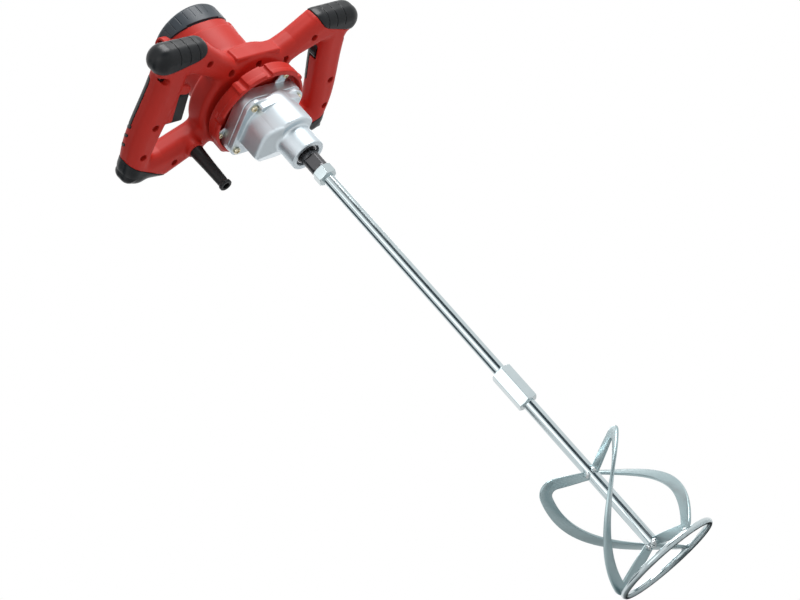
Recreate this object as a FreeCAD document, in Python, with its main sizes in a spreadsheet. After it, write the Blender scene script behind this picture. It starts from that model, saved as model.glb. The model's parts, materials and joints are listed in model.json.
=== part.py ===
"""Two-handled mixing drill with its screw-in stirrer, modelled in millimetres.

The drill stands in its working attitude: +Z runs up the spindle from the stirrer to the motor cap,
X runs from the trigger handle (-X) to the second handle (+X), and the origin lies on the spindle
axis at the lowest point of the stirrer ring.
"""
import FreeCAD
import Part
import Sketcher
import math
import os
import re

# Driving dimensions
SIZES = {
    # stirrer
    "ring_radius": 56.5,
    "ring_bar_radius": 3.5,
    "rod_radius": 7.0,
    "rod_foot_height": 25.0,
    "ribbon_inner_radius": 49.5,
    "ribbon_outer_radius": 62.0,
    "ribbon_thickness": 3.5,
    "ribbon_foot_height": 8.0,
    "ribbon_rise": 118.0,
    "ribbon_pitch": 278.0,
    "ribbon_start_angle": -98.0,
    "blade_count": 3,
    "arm_slope": 14.0,
    "coupling_height": 218.5,
    "coupling_length": 46.0,
    "coupling_flats": 22.0,
    "coupling_chamfer": 2.0,
    "collar_length": 13.5,
    "collar_flats": 22.0,
    "stud_length": 22.0,
    "thread_clearance": 0.1,
    "socket_end": 1.0,
    "socket_point": 4.0,
    # spindle and nose
    "stirrer_top_height": 579.0,
    "spindle_reach": 24.0,
    "spindle_radius": 10.5,
    "spindle_flats": 17.0,
    "spindle_flat_length": 16.0,
    "spindle_flat_start": 2.0,
    "spindle_turn": 45.0,
    "journal_radius": 10.0,
    "gear_seat_radius": 9.0,
    "running_fit": 0.03,
    "circlip_inset": 2.8,
    "circlip_width": 1.5,
    "circlip_groove": 0.8,
    "circlip_rim": 2.0,
    "circlip_recess_rim": 3.0,
    "circlip_recess_depth": 3.2,
    "nose_radius": 21.5,
    "nose_length": 29.0,
    "nose_bearing_radius": 17.0,
    "nose_bearing_width": 10.0,
    "nose_lip": 4.0,
    "lip_overlap": 1.5,
    "nose_shoulder": 3.0,
    "seal_width": 2.0,
    "seal_bore_gap": 0.6,
    "seal_end_gap": 0.2,
    "spacer_bore_gap": 2.5,
    # gear case
    "case_radius": 31.0,
    "case_height": 77.0,
    "cheek_lean": 30.0,
    "shoulder_step": 1.0,
    "floor_bore_step": 2.0,
    "bulge_half_width": 35.0,
    "bulge_reach": 23.5,
    "bulge_corner": 67.5,
    "side_slope": 0.8,
    "back_slope": 0.55,
    "back_slope_start": 16.0,
    "flange_half": 41.0,
    "flange_corner": 12.0,
    "flange_offset": 15.0,
    "flange_height": 6.0,
    "ear_spacing": 33.0,
    "bell_half": 43.0,
    "bell_corner": 14.0,
    "plate_radius": 50.0,
    "plate_height": 12.0,
    "plate_shaft_gap": 1.5,
    "screw_end_gap": 1.0,
    "lug_circle": 55.5,
    "lug_radius": 6.5,
    "rear_lug_angle": 28.0,
    "front_lug_angle": 67.0,
    "lug_height": 5.0,
    "plate_screw_radius": 2.0,
    "plate_screw_head_radius": 3.4,
    "plate_screw_head_height": 2.6,
    "recess_width_share": 0.3,
    "recess_length_share": 1.3,
    "case_screw_radius": 2.5,
    "case_screw_head_radius": 4.3,
    "case_screw_head_height": 3.4,
    # gear train
    "motor_module": 1.0,
    "motor_pinion_teeth": 8,
    "intermediate_gear_teeth": 31,
    "output_module": 1.5,
    "intermediate_pinion_teeth": 9,
    "output_gear_teeth": 33,
    "backlash": 0.22,
    "pressure_angle": 20.0,
    "tooth_tip": 0.95,
    "tooth_root": 1.25,
    "profile_shift": 0.5,
    "shaft_end_gap": 0.3,
    "gear_hub_step": 1.0,
    "gear_hub_overlap": 0.5,
    "output_gear_height": 51.0,
    "output_gear_width": 13.0,
    "stage_gap": 2.5,
    "motor_gear_width": 9.0,
    "pinion_overlap": 0.6,
    "intermediate_journal_radius": 4.0,
    "intermediate_bearing_radius": 6.5,
    "intermediate_bearing_width": 6.0,
    "gear_clearance": 0.8,
    # motor
    "shaft_radius": 5.0,
    "rear_journal_radius": 3.5,
    "front_bearing_radius": 11.0,
    "front_bearing_width": 8.0,
    "rear_bearing_radius": 11.0,
    "rear_bearing_width": 7.0,
    "fan_radius": 32.0,
    "fan_height": 12.0,
    "fan_gap": 9.0,
    "fan_blades": 12,
    "fan_blade_thickness": 1.6,
    "fan_hub_radius": 10.0,
    "fan_disc_thickness": 2.0,
    "fan_blade_overlap": 0.5,
    "armature_radius": 20.0,
    "armature_length": 50.0,
    "armature_gap": 22.0,
    "air_gap": 0.7,
    "winding_radius": 17.0,
    "winding_length": 8.0,
    "commutator_radius": 13.0,
    "commutator_length": 14.0,
    "commutator_gap": 6.0,
    "rear_bearing_gap": 3.0,
    "motor_radius": 46.0,
    "motor_wall": 6.5,
    "barrel_offset": 4.0,
    "motor_height": 204.0,
    "field_window": 24.0,
    "field_end_gap": 1.0,
    "field_rim": 4.0,
    "coil_length": 9.0,
    "air_inlet_radius": 23.0,
    "bearing_seat_wall": 2.0,
    "spigot_length": 19.0,
    "spigot_step": 4.5,
    "cap_height": 29.5,
    "cap_wall": 3.0,
    "cap_fit": 0.1,
    "cap_slot_end": 3.0,
    "cap_screw_sink": 3.0,
    "cap_screw_bite": 8.0,
    "cap_bevel_share": 0.3,
    "cap_rounding": 9.0,
    "cap_slots": 24,
    "cap_slot_width": 1.6,
    "cap_slot_depth": 0.9,
    "cap_screw_circle": 24.0,
    "cap_boss_radius": 4.5,
    "cap_screw_radius": 1.8,
    "cap_screw_head_radius": 3.4,
    "cap_screw_head_height": 2.4,
    "cap_screw_count": 4,
    "brush_size": 7.0,
    "brush_length": 16.0,
    "brush_gap": 0.2,
    "brush_lead": 3.0,
    "brush_boss_rise": 2.0,
    "brush_slot_width": 1.6,
    "brush_slot_share": 1.4,
    "brush_holder_size": 10.0,
    "brush_boss_radius": 10.5,
    "brush_cap_radius": 7.5,
    "brush_cap_height": 3.0,
    # handle housing
    "handle_height": 126.0,
    "handle_tilt": 5.0,
    "handle_thickness": 33.0,
    "handle_rounding": 13.0,
    "handle_wall": 3.2,
    "handle_half_width": 156.0,
    "horn_reach": 83.0,
    "foot_reach": 107.0,
    "foot_tip": 101.0,
    "grip_waist": 14.0,
    "waist_place": -25.0,
    "front_arm_width": 44.0,
    "opening_front": 28.0,
    "opening_back": 46.0,
    "opening_reach": 75.0,
    "belly_place": 20.0,
    "arm_bend": 57.0,
    "saddle_reach": 41.0,
    "back_reach": 79.0,
    # corners of the loops: share of the half width and rounding
    "saddle_share": 0.155,
    "saddle_corner": 10.0,
    "arm_bend_share": 0.345,
    "arm_bend_corner": 40.0,
    "horn_inner_share": 0.525,
    "horn_inner_corner": 25.0,
    "horn_outer_share": 0.968,
    "horn_outer_corner": 19.0,
    "waist_corner": 70.0,
    "foot_outer_corner": 16.0,
    "foot_inner_share": 0.615,
    "foot_inner_corner": 25.0,
    "back_share": 0.31,
    "back_corner": 20.0,
    # the grip keeps its width: margins in from the half width
    "opening_front_margin": 55.0,
    "opening_back_margin": 35.0,
    "opening_inner_corner": 6.0,
    "opening_corner": 8.0,
    "belly_margin": 40.0,
    "belly_corner": 60.0,
    "grip_inner_margin": 44.0,
    "grip_middle_margin": 22.0,
    # round middle, horns, feet and inlays
    "drum_radius": 61.0,
    "drum_offset": 12.0,
    "drum_floor": 5.0,
    "drum_height": 50.0,
    "drum_step": 3.5,
    "collar_height": 12.0,
    "drum_shoulder": 12.0,
    "disc_radius": 65.0,
    "disc_offset": 16.0,
    "disc_thickness": 30.0,
    "disc_rounding": 6.0,
    "horn_depth": 21.0,
    "horn_slope": 0.236,
    "horn_corner": 5.0,
    "foot_line": 71.6,
    "foot_slope": 0.47,
    "pad_depth": 4.5,
    "pad_front": -38.0,
    "pad_back": 33.0,
    "pad_point": 12.0,
    "middle_screw_reach": 37.0,
    "screw_hole_radius": 4.2,
    "screw_hole_depth": 12.0,
    "screw_hole_end": 12.0,
    "screw_boss_radius": 6.5,
    "handle_screw_head_radius": 3.6,
    "handle_screw_head_height": 2.6,
    "handle_screw_radius": 1.9,
    "handle_screw_length": 16.0,
    # controls
    "bracket_length": 54.0,
    "bracket_height": 28.0,
    "bracket_reach": 6.0,
    "bracket_depth": 12.0,
    "bracket_offset": -7.0,
    "bracket_rounding": 3.0,
    "trigger_offset": 6.0,
    "trigger_length": 40.0,
    "trigger_height": 17.0,
    "trigger_reach": 16.0,
    "trigger_rounding": 4.0,
    "trigger_depth": 4.0,
    "plunger_length": 12.0,
    "plunger_depth": 3.0,
    "plunger_height": 13.0,
    "plunger_offset": -3.0,
    "trigger_travel": 6.0,
    "slide_clearance": 0.4,
    "switch_length": 14.0,
    "switch_rise": 10.0,
    "switch_depth": 4.5,
    "switch_gap": 0.8,
    "button_radius": 5.0,
    "button_height": 7.0,
    "button_rise": 3.0,
    "button_rounding": 1.2,
    "button_flange": 1.5,
    "button_gap": 18.0,
    "dial_radius": 13.5,
    "dial_margin": 40.5,
    "dial_back": 17.0,
    "dial_groove_radius": 0.7,
    "dial_width": 9.0,
    "dial_grooves": 18,
    "dial_pin_radius": 2.0,
    "control_radius": 4.0,
    "control_height": 4.0,
    # cord entry
    "boot_length": 66.0,
    "boot_root_radius": 8.0,
    "boot_tip_radius": 5.8,
    "boot_flange_radius": 7.0,
    "boot_flange_length": 4.0,
    "cord_radius": 4.0,
    "cord_clearance": 0.2,
    "cord_hole_radius": 5.0,
    "cord_hole_depth": 12.0,
    "boot_seat_depth": 3.0,
    "boot_flange_bevel": 1.0,
    "boot_across": 67.5,
    "boot_back": 63.0,
}

# Heights and places worked out from the sizes
PLACES = {
    "rod_top_z": "stirrer_top_height - collar_length",
    "nose_z": "stirrer_top_height + spindle_reach",
    "shoulder_z": "nose_z + nose_length",
    "flange_z": "nose_z + case_height",
    "plate_z": "flange_z + plate_height",
    "output_gear_z": "nose_z + output_gear_height",
    "output_gear_top_z": "output_gear_z + output_gear_width",
    "motor_gear_z": "output_gear_top_z + stage_gap",
    "motor_gear_top_z": "motor_gear_z + motor_gear_width",
    "case_floor_z": "output_gear_z - gear_clearance - intermediate_bearing_width",
    "output_gear_radius": "output_module * (output_gear_teeth / 2 + 1)",
    "intermediate_gear_radius": "motor_module * (intermediate_gear_teeth / 2 + 1)",
    "intermediate_y": "output_module * (output_gear_teeth + intermediate_pinion_teeth) / 2",
    "motor_y": "intermediate_y - motor_module * (intermediate_gear_teeth + motor_pinion_teeth) / 2",
    "front_bearing_z": "plate_z - front_bearing_width",
    "fan_z": "plate_z + fan_gap",
    "armature_z": "fan_z + fan_height + armature_gap",
    "armature_top_z": "armature_z + armature_length",
    "winding_top_z": "armature_top_z + winding_length",
    "commutator_z": "winding_top_z + commutator_gap",
    "commutator_top_z": "commutator_z + commutator_length",
    "rear_bearing_z": "commutator_top_z + rear_bearing_gap",
    "rear_bearing_top_z": "rear_bearing_z + rear_bearing_width",
    "brush_z": "commutator_z + commutator_length / 2",
    "handle_z": "nose_z + handle_height",
    "cap_z": "nose_z + motor_height",
    "cap_top_z": "cap_z + cap_height",
    "barrel_y": "motor_y + barrel_offset",
    "motor_bore": "motor_radius - motor_wall",
    "spigot_radius": "motor_radius - spigot_step",
    "nose_bearing_z": "nose_z + nose_lip",
    "inner_bearing_z": "case_floor_z - nose_bearing_width",
}

doc = FreeCAD.newDocument("MixingDrill")
sheet = doc.addObject("Spreadsheet::Sheet", "Sizes")
for row, (word, number) in enumerate(SIZES.items(), 1):
    sheet.set(f"A{row}", word)
    sheet.set(f"B{row}", str(number))
    sheet.setAlias(f"B{row}", word)
doc.recompute()


def linked(formula):
    """Write a formula of plain names as an expression on the sheet and the worked-out places."""
    def home(match):
        word = match.group(0)
        if word in SIZES:
            return "Sizes." + word
        if word in PLACES:
            return "Places." + word
        return word
    return re.sub(r"[a-z]\w*", home, formula)


places = doc.addObject("App::VarSet", "Places")
for word, formula in PLACES.items():
    places.addProperty("App::PropertyFloat", word)
    places.setExpression(word, linked(formula))
doc.recompute()


def size(word):
    """The value of a driving dimension or of a worked-out place."""
    if word in SIZES:
        return float(sheet.get(word))
    return float(getattr(places, word))


Vector = FreeCAD.Vector
UP = Vector(0, 0, 1)
nodes = []


# Helpers for the parametric pieces
def tie(thing, formulas):
    """Bind the properties of an object to formulas of the sizes."""
    for name, formula in formulas.items():
        thing.setExpression(name, linked(formula))
    return thing


def finish(thing, label):
    """Name an object as one sub-part of the drill."""
    thing.Label = label
    nodes.append(thing)
    return thing


def cylinder(radius, height, x="0", y="0", z="0"):
    thing = doc.addObject("Part::Cylinder", "Cylinder")
    return tie(thing, {"Radius": radius, "Height": height, "Placement.Base.x": x,
                       "Placement.Base.y": y, "Placement.Base.z": z})


def box(length, width, height, x="0", y="0", z="0"):
    thing = doc.addObject("Part::Box", "Box")
    return tie(thing, {"Length": length, "Width": width, "Height": height, "Placement.Base.x": x,
                       "Placement.Base.y": y, "Placement.Base.z": z})


def hexagon(flats, height, z):
    thing = doc.addObject("Part::Prism", "Hexagon")
    thing.Polygon = 6
    return tie(thing, {"Circumradius": f"({flats}) / 2 / cos(30 deg)", "Height": height,
                       "Placement.Base.z": z})


def cut(base, tool):
    thing = doc.addObject("Part::Cut", "Cut")
    thing.Base = base
    thing.Tool = tool
    return thing


def common(base, tool):
    thing = doc.addObject("Part::Common", "Common")
    thing.Base = base
    thing.Tool = tool
    return thing


def fused(things):
    thing = doc.addObject("Part::MultiFuse", "Fuse")
    thing.Shapes = things
    thing.Refine = True
    return thing


def plane(body, role):
    return [feature for feature in body.Origin.OriginFeatures if feature.Role == role][0]


def outline(sketch, points):
    """Draw a closed polygon whose corners are placed by formulas of the sizes."""
    count = len(points)
    turn = 2 * math.pi / count
    spots = [Vector(20 + 5 * math.cos(turn * k), 20 + 5 * math.sin(turn * k), 0) for k in range(count)]
    for k in range(count):
        sketch.addGeometry(Part.LineSegment(spots[k], spots[(k + 1) % count]), False)
    for k in range(count):
        sketch.addConstraint(Sketcher.Constraint("Coincident", k, 2, (k + 1) % count, 1))
    for k, (across, along) in enumerate(points):
        index = sketch.addConstraint(Sketcher.Constraint("DistanceX", -1, 1, k, 1, spots[k].x))
        sketch.setExpression(f"Constraints[{index}]", linked(across))
        index = sketch.addConstraint(Sketcher.Constraint("DistanceY", -1, 1, k, 1, spots[k].y))
        sketch.setExpression(f"Constraints[{index}]", linked(along))


def sketched(body, role, points):
    sketch = body.newObject("Sketcher::SketchObject", "Profile")
    sketch.AttachmentSupport = (plane(body, role), "")
    sketch.MapMode = "FlatFace"
    outline(sketch, points)
    return sketch


def turned(profile, y="0"):
    """A body of revolution: corners are (radius, height), turned about an upright axis."""
    body = doc.addObject("PartDesign::Body", "Turned")
    sketch = sketched(body, "XZ_Plane", profile)
    turn = body.newObject("PartDesign::Revolution", "Turn")
    turn.Profile = sketch
    turn.ReferenceAxis = (sketch, ["V_Axis"])
    turn.Angle = 360
    return tie(body, {"Placement.Base.y": y})


def sleeve(inner, outer, low, high, y="0"):
    """A plain ring between two heights."""
    return turned([(inner, low), (outer, low), (outer, high), (inner, high)], y)


def feature(label, shape):
    """A sub-part whose form is worked out in code from the same sizes."""
    thing = doc.addObject("Part::Feature", "Form")
    thing.Shape = shape
    return finish(thing, label)


def rounded_wire(corners):
    """A closed wire of straight runs joined by tangent arcs: corners are (x, y, radius)."""
    spots = [Vector(x, y, 0) for x, y, radius in corners]
    count = len(spots)
    ends = []
    for k, (x, y, radius) in enumerate(corners):
        before = (spots[k - 1] - spots[k]).normalize()
        after = (spots[(k + 1) % count] - spots[k]).normalize()
        half = before.getAngle(after) / 2
        reach = radius / math.tan(half)
        middle = (before + after).normalize() * (radius / math.sin(half) - radius)
        ends.append((spots[k] + before * reach, spots[k] + middle, spots[k] + after * reach))
    edges = []
    for k in range(count):
        start, bend, leave = ends[k]
        edges.append(Part.Arc(start, bend, leave).toShape())
        edges.append(Part.LineSegment(leave, ends[(k + 1) % count][0]).toShape())
    return Part.Wire(edges)


def prism(corners, low, high):
    """A straight prism over a polygon of (x, y) corners."""
    spots = [Vector(x, y, low) for x, y in corners]
    return Part.Face(Part.makePolygon(spots + spots[:1])).extrude(UP * (high - low))


def upright(radius, low, high, x=0.0, y=0.0):
    return Part.makeCylinder(radius, high - low, Vector(x, y, low))


# Stirrer
def hex_with_chamfers(flats, low, high, bevel):
    """A hexagon bar whose corners are turned off at both ends."""
    corner = f"({flats}) / 2 / cos(30 deg)"
    turnings = turned([("0", low), (f"{corner} - {bevel}", low), (corner, f"{low} + {bevel} / 2"),
                       (corner, f"{high} - {bevel} / 2"), (f"{corner} - {bevel}", high), ("0", high)])
    return common(hexagon(flats, f"{high} - ({low})", low), turnings)


def make_stirrer_rods():
    joint = "coupling_height + coupling_length / 2"
    lower = cylinder("rod_radius", f"{joint} - rod_foot_height", z="rod_foot_height")
    finish(lower, "stirrer_lower_rod")

    sleeve_bar = hex_with_chamfers("coupling_flats", "coupling_height",
                                   "coupling_height + coupling_length", "coupling_chamfer")
    bore = cylinder("rod_radius", "coupling_length", z="coupling_height")
    finish(cut(sleeve_bar, bore), "coupling_sleeve")

    rod = cylinder("rod_radius", f"stirrer_top_height + stud_length - ({joint})", z=joint)
    collar = hex_with_chamfers("collar_flats", "rod_top_z", "stirrer_top_height", "coupling_chamfer")
    finish(fused([rod, collar]), "stirrer_upper_rod")


def make_stirrer_ring():
    ring = doc.addObject("Part::Torus", "Ring")
    tie(ring, {"Radius1": "ring_radius", "Radius2": "ring_bar_radius",
               "Placement.Base.z": "ring_bar_radius"})
    finish(ring, "stirrer_ring")
    return ring


def make_blades(ring):
    """Three twisted ribbons, each with a sloping arm to the rod at its head and its foot."""
    pitch = size("ribbon_pitch")
    middle_radius = (size("ribbon_inner_radius") + size("ribbon_outer_radius")) / 2
    lead = math.atan2(pitch, 2 * math.pi * middle_radius)
    band = size("ribbon_thickness") / math.cos(lead)
    width = size("ribbon_outer_radius") - size("ribbon_inner_radius")
    slope = math.radians(size("arm_slope"))
    count = int(size("blade_count"))
    for number in range(count):
        body = doc.addObject("PartDesign::Body", "Ribbon")
        foot = "ribbon_foot_height"
        head = f"ribbon_foot_height + {band}"
        sketch = sketched(body, "XZ_Plane", [("ribbon_inner_radius", foot), ("ribbon_outer_radius", foot),
                                             ("ribbon_outer_radius", head), ("ribbon_inner_radius", head)])
        helix = body.newObject("PartDesign::AdditiveHelix", "Twist")
        helix.Profile = sketch
        helix.ReferenceAxis = (sketch, ["V_Axis"])
        helix.Mode = "pitch-height-angle"
        tie(helix, {"Pitch": "ribbon_pitch", "Height": "ribbon_rise"})
        start = size("ribbon_start_angle") + 360 / count * number
        body.Placement = FreeCAD.Placement(Vector(), FreeCAD.Rotation(UP, start))

        sweep = 360 * size("ribbon_rise") / pitch
        foot_middle = size("ribbon_foot_height") + band / 2
        arms = []
        for turn, height in ((0, foot_middle), (sweep, foot_middle + size("ribbon_rise"))):
            rise = -slope if turn == 0 else slope
            arm = doc.addObject("Part::Box", "Arm")
            reach = middle_radius / math.cos(slope)
            arm.Length = reach
            arm.Width = width
            arm.Height = size("ribbon_thickness")
            flat = FreeCAD.Placement(Vector(-reach, -width / 2, -size("ribbon_thickness") / 2),
                                     FreeCAD.Rotation())
            lean = FreeCAD.Placement(Vector(), FreeCAD.Rotation(Vector(1, 0, 0), math.degrees(lead)))
            tilt = FreeCAD.Placement(Vector(middle_radius, 0, height),
                                     FreeCAD.Rotation(Vector(0, 1, 0), -math.degrees(rise)))
            spin = FreeCAD.Placement(Vector(), FreeCAD.Rotation(UP, start + turn))
            arm.Placement = spin.multiply(tilt).multiply(lean).multiply(flat)
            arms.append(arm)
        rod = cylinder("rod_radius", "stirrer_top_height")
        blade = cut(cut(fused([body] + arms), rod), ring)
        finish(blade, f"blade_{number + 1}")


# Spindle, nose and gear train
def make_spindle():
    clip_low = "output_gear_top_z - circlip_inset"
    clip_high = "output_gear_top_z - circlip_inset + circlip_width"
    groove = "gear_seat_radius - circlip_groove"
    socket = "rod_radius + thread_clearance"
    profile = [(socket, "stirrer_top_height"), ("spindle_radius", "stirrer_top_height"),
               ("spindle_radius", "nose_bearing_z"), ("journal_radius", "nose_bearing_z"),
               ("journal_radius", "output_gear_z"), ("gear_seat_radius", "output_gear_z"),
               ("gear_seat_radius", clip_low), (groove, clip_low), (groove, clip_high),
               ("gear_seat_radius", clip_high),
               ("gear_seat_radius", "output_gear_top_z"), ("0", "output_gear_top_z"),
               ("0", "stirrer_top_height + stud_length + socket_point"),
               (socket, "stirrer_top_height + stud_length + socket_end")]
    shaft = turned(profile)
    for side in (1, -1):
        flat = box("spindle_radius", "spindle_radius * 2", "spindle_flat_length",
                   x="spindle_flats / 2" if side > 0 else "-spindle_flats / 2 - spindle_radius",
                   y="-spindle_radius", z="stirrer_top_height + spindle_flat_start")
        shaft = cut(shaft, flat)
    shaft.Placement = FreeCAD.Placement(Vector(), FreeCAD.Rotation(UP, size("spindle_turn")))
    finish(shaft, "output_spindle")
    finish(sleeve(groove, "gear_seat_radius + circlip_rim", clip_low, clip_high), "spindle_circlip")


def make_nose_bearings():
    bore = "journal_radius + running_fit"
    finish(sleeve(bore, "nose_bearing_radius", "nose_bearing_z + seal_width",
                  "nose_bearing_z + seal_width + nose_bearing_width"), "nose_bearing")
    finish(sleeve(bore, "nose_bearing_radius", "inner_bearing_z", "inner_bearing_z + nose_bearing_width"),
           "inner_spindle_bearing")
    finish(sleeve("journal_radius + seal_bore_gap", "nose_bearing_radius", "nose_bearing_z + seal_end_gap",
                  "nose_bearing_z + seal_width"), "retaining_ring")
    finish(sleeve("journal_radius + spacer_bore_gap", "nose_bearing_radius",
                  "nose_bearing_z + seal_width + nose_bearing_width", "inner_bearing_z"), "bearing_spacer")


def involute_angle(radius, base):
    """Roll angle less its own direction, where the involute of the base circle meets the radius."""
    pressure = math.acos(min(1.0, base / radius))
    return math.tan(pressure) - pressure


def gear_face(module, teeth, shift, tooth_at):
    """The outline of a spur gear with involute flanks, one tooth centred on the given direction."""
    steps = 4
    pitch_radius = module * teeth / 2
    pressure = math.radians(size("pressure_angle"))
    base = pitch_radius * math.cos(pressure)
    tip = pitch_radius + module * (size("tooth_tip") + shift)
    root = pitch_radius - module * (size("tooth_root") - shift)
    thickness = module * (math.pi / 2 + 2 * shift * math.tan(pressure)) - size("backlash") / 2
    half_at_base = thickness / 2 / pitch_radius + involute_angle(pitch_radius, base)
    first = max(base, root)
    radii = [first + (tip - first) * k / (steps - 1) for k in range(steps)]
    flank = [(radius, half_at_base - involute_angle(radius, base)) for radius in radii]
    if root < base:
        flank = [(root, half_at_base)] + flank
    spots = []
    for tooth in range(teeth):
        centre = tooth_at + 2 * math.pi * tooth / teeth
        for radius, half in flank:
            spots.append(Vector(radius * math.cos(centre - half), radius * math.sin(centre - half), 0))
        for radius, half in reversed(flank):
            spots.append(Vector(radius * math.cos(centre + half), radius * math.sin(centre + half), 0))
    return Part.Face(Part.makePolygon(spots + spots[:1]))


def gear_solid(face, low, high, y):
    return face.translated(Vector(0, y, low)).extrude(UP * (high - low))


def make_gears():
    shift = size("profile_shift")
    toward = math.pi / 2
    low = size("motor_gear_z")
    high = size("motor_gear_top_z")
    output_low = size("output_gear_z")
    output_high = size("output_gear_top_z")
    middle_y = size("intermediate_y")

    teeth = int(size("output_gear_teeth"))
    face = gear_face(size("output_module"), teeth, -shift, toward + math.pi / teeth)
    wheel = gear_solid(face, output_low, output_high, 0)
    wheel = wheel.cut(upright(size("gear_seat_radius"), output_low, output_high))
    wheel = wheel.cut(upright(size("gear_seat_radius") + size("circlip_recess_rim"),
                              output_high - size("circlip_recess_depth"), output_high))
    feature("output_gear", wheel)

    teeth = int(size("intermediate_pinion_teeth"))
    face = gear_face(size("output_module"), teeth, shift, -toward)
    pinion = gear_solid(face, output_low, output_high, middle_y)
    journal = size("intermediate_journal_radius")
    gap = size("shaft_end_gap")
    hub = journal + size("gear_hub_step")
    top = size("flange_z") + size("intermediate_bearing_width") - gap
    shaft = upright(journal, size("case_floor_z") + gap, top, 0, middle_y)
    seat = upright(hub, output_high, high + size("gear_hub_overlap"), 0, middle_y)
    feature("intermediate_shaft", pinion.fuse(shaft).fuse(seat).removeSplitter())

    teeth = int(size("intermediate_gear_teeth"))
    face = gear_face(size("motor_module"), teeth, -shift, -toward + math.pi / teeth)
    wheel = gear_solid(face, low, high, middle_y)
    wheel = wheel.cut(upright(hub, low, high, 0, middle_y))
    feature("intermediate_gear", wheel)

    width = size("intermediate_bearing_width")
    for label, start in (("intermediate_lower_bearing", size("case_floor_z")),
                         ("intermediate_upper_bearing", size("flange_z"))):
        ring = upright(size("intermediate_bearing_radius"), start, start + width, 0, middle_y)
        ring = ring.cut(upright(journal + size("running_fit"), start, start + width, 0, middle_y))
        feature(label, ring)


def ear_spots():
    """Where the four case screws stand, in the corners of the flange."""
    away = size("ear_spacing")
    for x in (away, -away):
        for y in (away, -away):
            yield (x, size("flange_offset") + y)


def rounded_square(half, corner, low, high):
    """An upright block with a rounded square plan, centred on the gear flange."""
    y = size("flange_offset")
    wire = rounded_wire([(half, y - half, corner), (half, y + half, corner),
                         (-half, y + half, corner), (-half, y - half, corner)])
    return Part.Face(wire).translated(Vector(0, 0, low)).extrude(UP * (high - low))


def below_slope(start, rise, reach, low):
    """A wedge across the case below a plane that climbs along +Y from a starting line."""
    far = start + reach
    corners = [Vector(-reach, start, low), Vector(-reach, far, low + rise * reach), Vector(-reach, far, low)]
    return Part.Face(Part.makePolygon(corners + corners[:1])).extrude(Vector(2 * reach, 0, 0))


def make_gear_case():
    nose = size("nose_z")
    shoulder = size("shoulder_z")
    flange = size("flange_z")
    radius = size("case_radius")
    middle_y = size("intermediate_y")
    half = size("bulge_half_width")
    reach = middle_y + size("bulge_reach")
    corner = size("bulge_corner")

    # flat cheeks leave the barrel along its tangents and meet the side walls
    lean = math.radians(size("cheek_lean"))
    touch = Vector(radius * math.cos(lean), -radius * math.sin(lean), 0)
    wall_start = (half * math.cos(lean) - radius) / math.sin(lean)
    right = [(touch.x, touch.y), (half, wall_start), (half, corner - half), (corner - reach, reach)]
    left = [(-x, y) for x, y in reversed(right)]
    bulge = prism(right + left, shoulder, flange)
    width = 3 * radius
    bulge = bulge.cut(below_slope(size("back_slope_start"), size("back_slope"), width, shoulder))
    for turn in (90, -90):
        wedge = below_slope(size("nose_radius"), size("side_slope"), width, 0)
        wedge.rotate(Vector(), UP, turn)
        bulge = bulge.cut(wedge.translated(Vector(0, 0, shoulder)))

    step = size("nose_shoulder")
    case = upright(size("nose_radius"), nose, flange)
    case = case.fuse(Part.makeCone(size("nose_radius") + size("shoulder_step"), radius, step,
                                   Vector(0, 0, shoulder - step)))
    case = case.fuse(upright(radius, shoulder, flange)).fuse(bulge)
    low = flange - size("flange_height")
    case = case.fuse(rounded_square(size("flange_half"), size("flange_corner"), low, flange))
    case = case.removeSplitter()

    seat = size("nose_bearing_z")
    lip_bore = size("nose_bearing_radius") - size("lip_overlap")
    case = case.cut(upright(lip_bore, nose, seat))
    case = case.cut(upright(size("nose_bearing_radius"), seat, size("case_floor_z")))
    floor = size("case_floor_z") + size("intermediate_bearing_width")
    floor_bore = size("nose_bearing_radius") - size("floor_bore_step")
    case = case.cut(upright(floor_bore, size("case_floor_z"), floor))
    case = case.cut(upright(size("output_gear_radius") + size("gear_clearance"), floor, flange))
    case = case.cut(upright(size("intermediate_gear_radius") + size("gear_clearance"),
                            floor, flange, 0, middle_y))
    case = case.cut(upright(size("intermediate_bearing_radius"), size("case_floor_z"), floor, 0, middle_y))
    for x, y in ear_spots():
        case = case.cut(upright(size("case_screw_radius"), low, flange, x, y))
    feature("gear_case", case)


def lug_spots():
    """Where the four screws stand that hold the gear plate to the housing."""
    circle = size("lug_circle")
    for angle in (math.radians(size("rear_lug_angle")), -math.radians(size("front_lug_angle"))):
        for side in (1, -1):
            yield (side * circle * math.cos(angle), size("drum_offset") + circle * math.sin(angle))


def make_bearing_plate():
    flange = size("flange_z")
    top = size("plate_z")
    plate = rounded_square(size("bell_half"), size("bell_corner"), flange, top)
    plate = plate.fuse(upright(size("plate_radius"), top - size("lug_height"), top, 0, size("drum_offset")))
    for x, y in lug_spots():
        plate = plate.fuse(upright(size("lug_radius"), top - size("lug_height"), top, x, y))
        plate = plate.cut(upright(size("plate_screw_radius"), flange, top, x, y))
    plate = plate.cut(upright(size("intermediate_bearing_radius"), flange,
                              flange + size("intermediate_bearing_width"), 0, size("intermediate_y")))
    plate = plate.cut(upright(size("front_bearing_radius"), size("front_bearing_z"), top, 0, size("motor_y")))
    plate = plate.cut(upright(size("shaft_radius") + size("plate_shaft_gap"), flange, top, 0,
                             size("motor_y")))
    for x, y in ear_spots():
        plate = plate.cut(upright(size("case_screw_radius"), flange, top, x, y))
    feature("bearing_plate", plate.removeSplitter())


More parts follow.
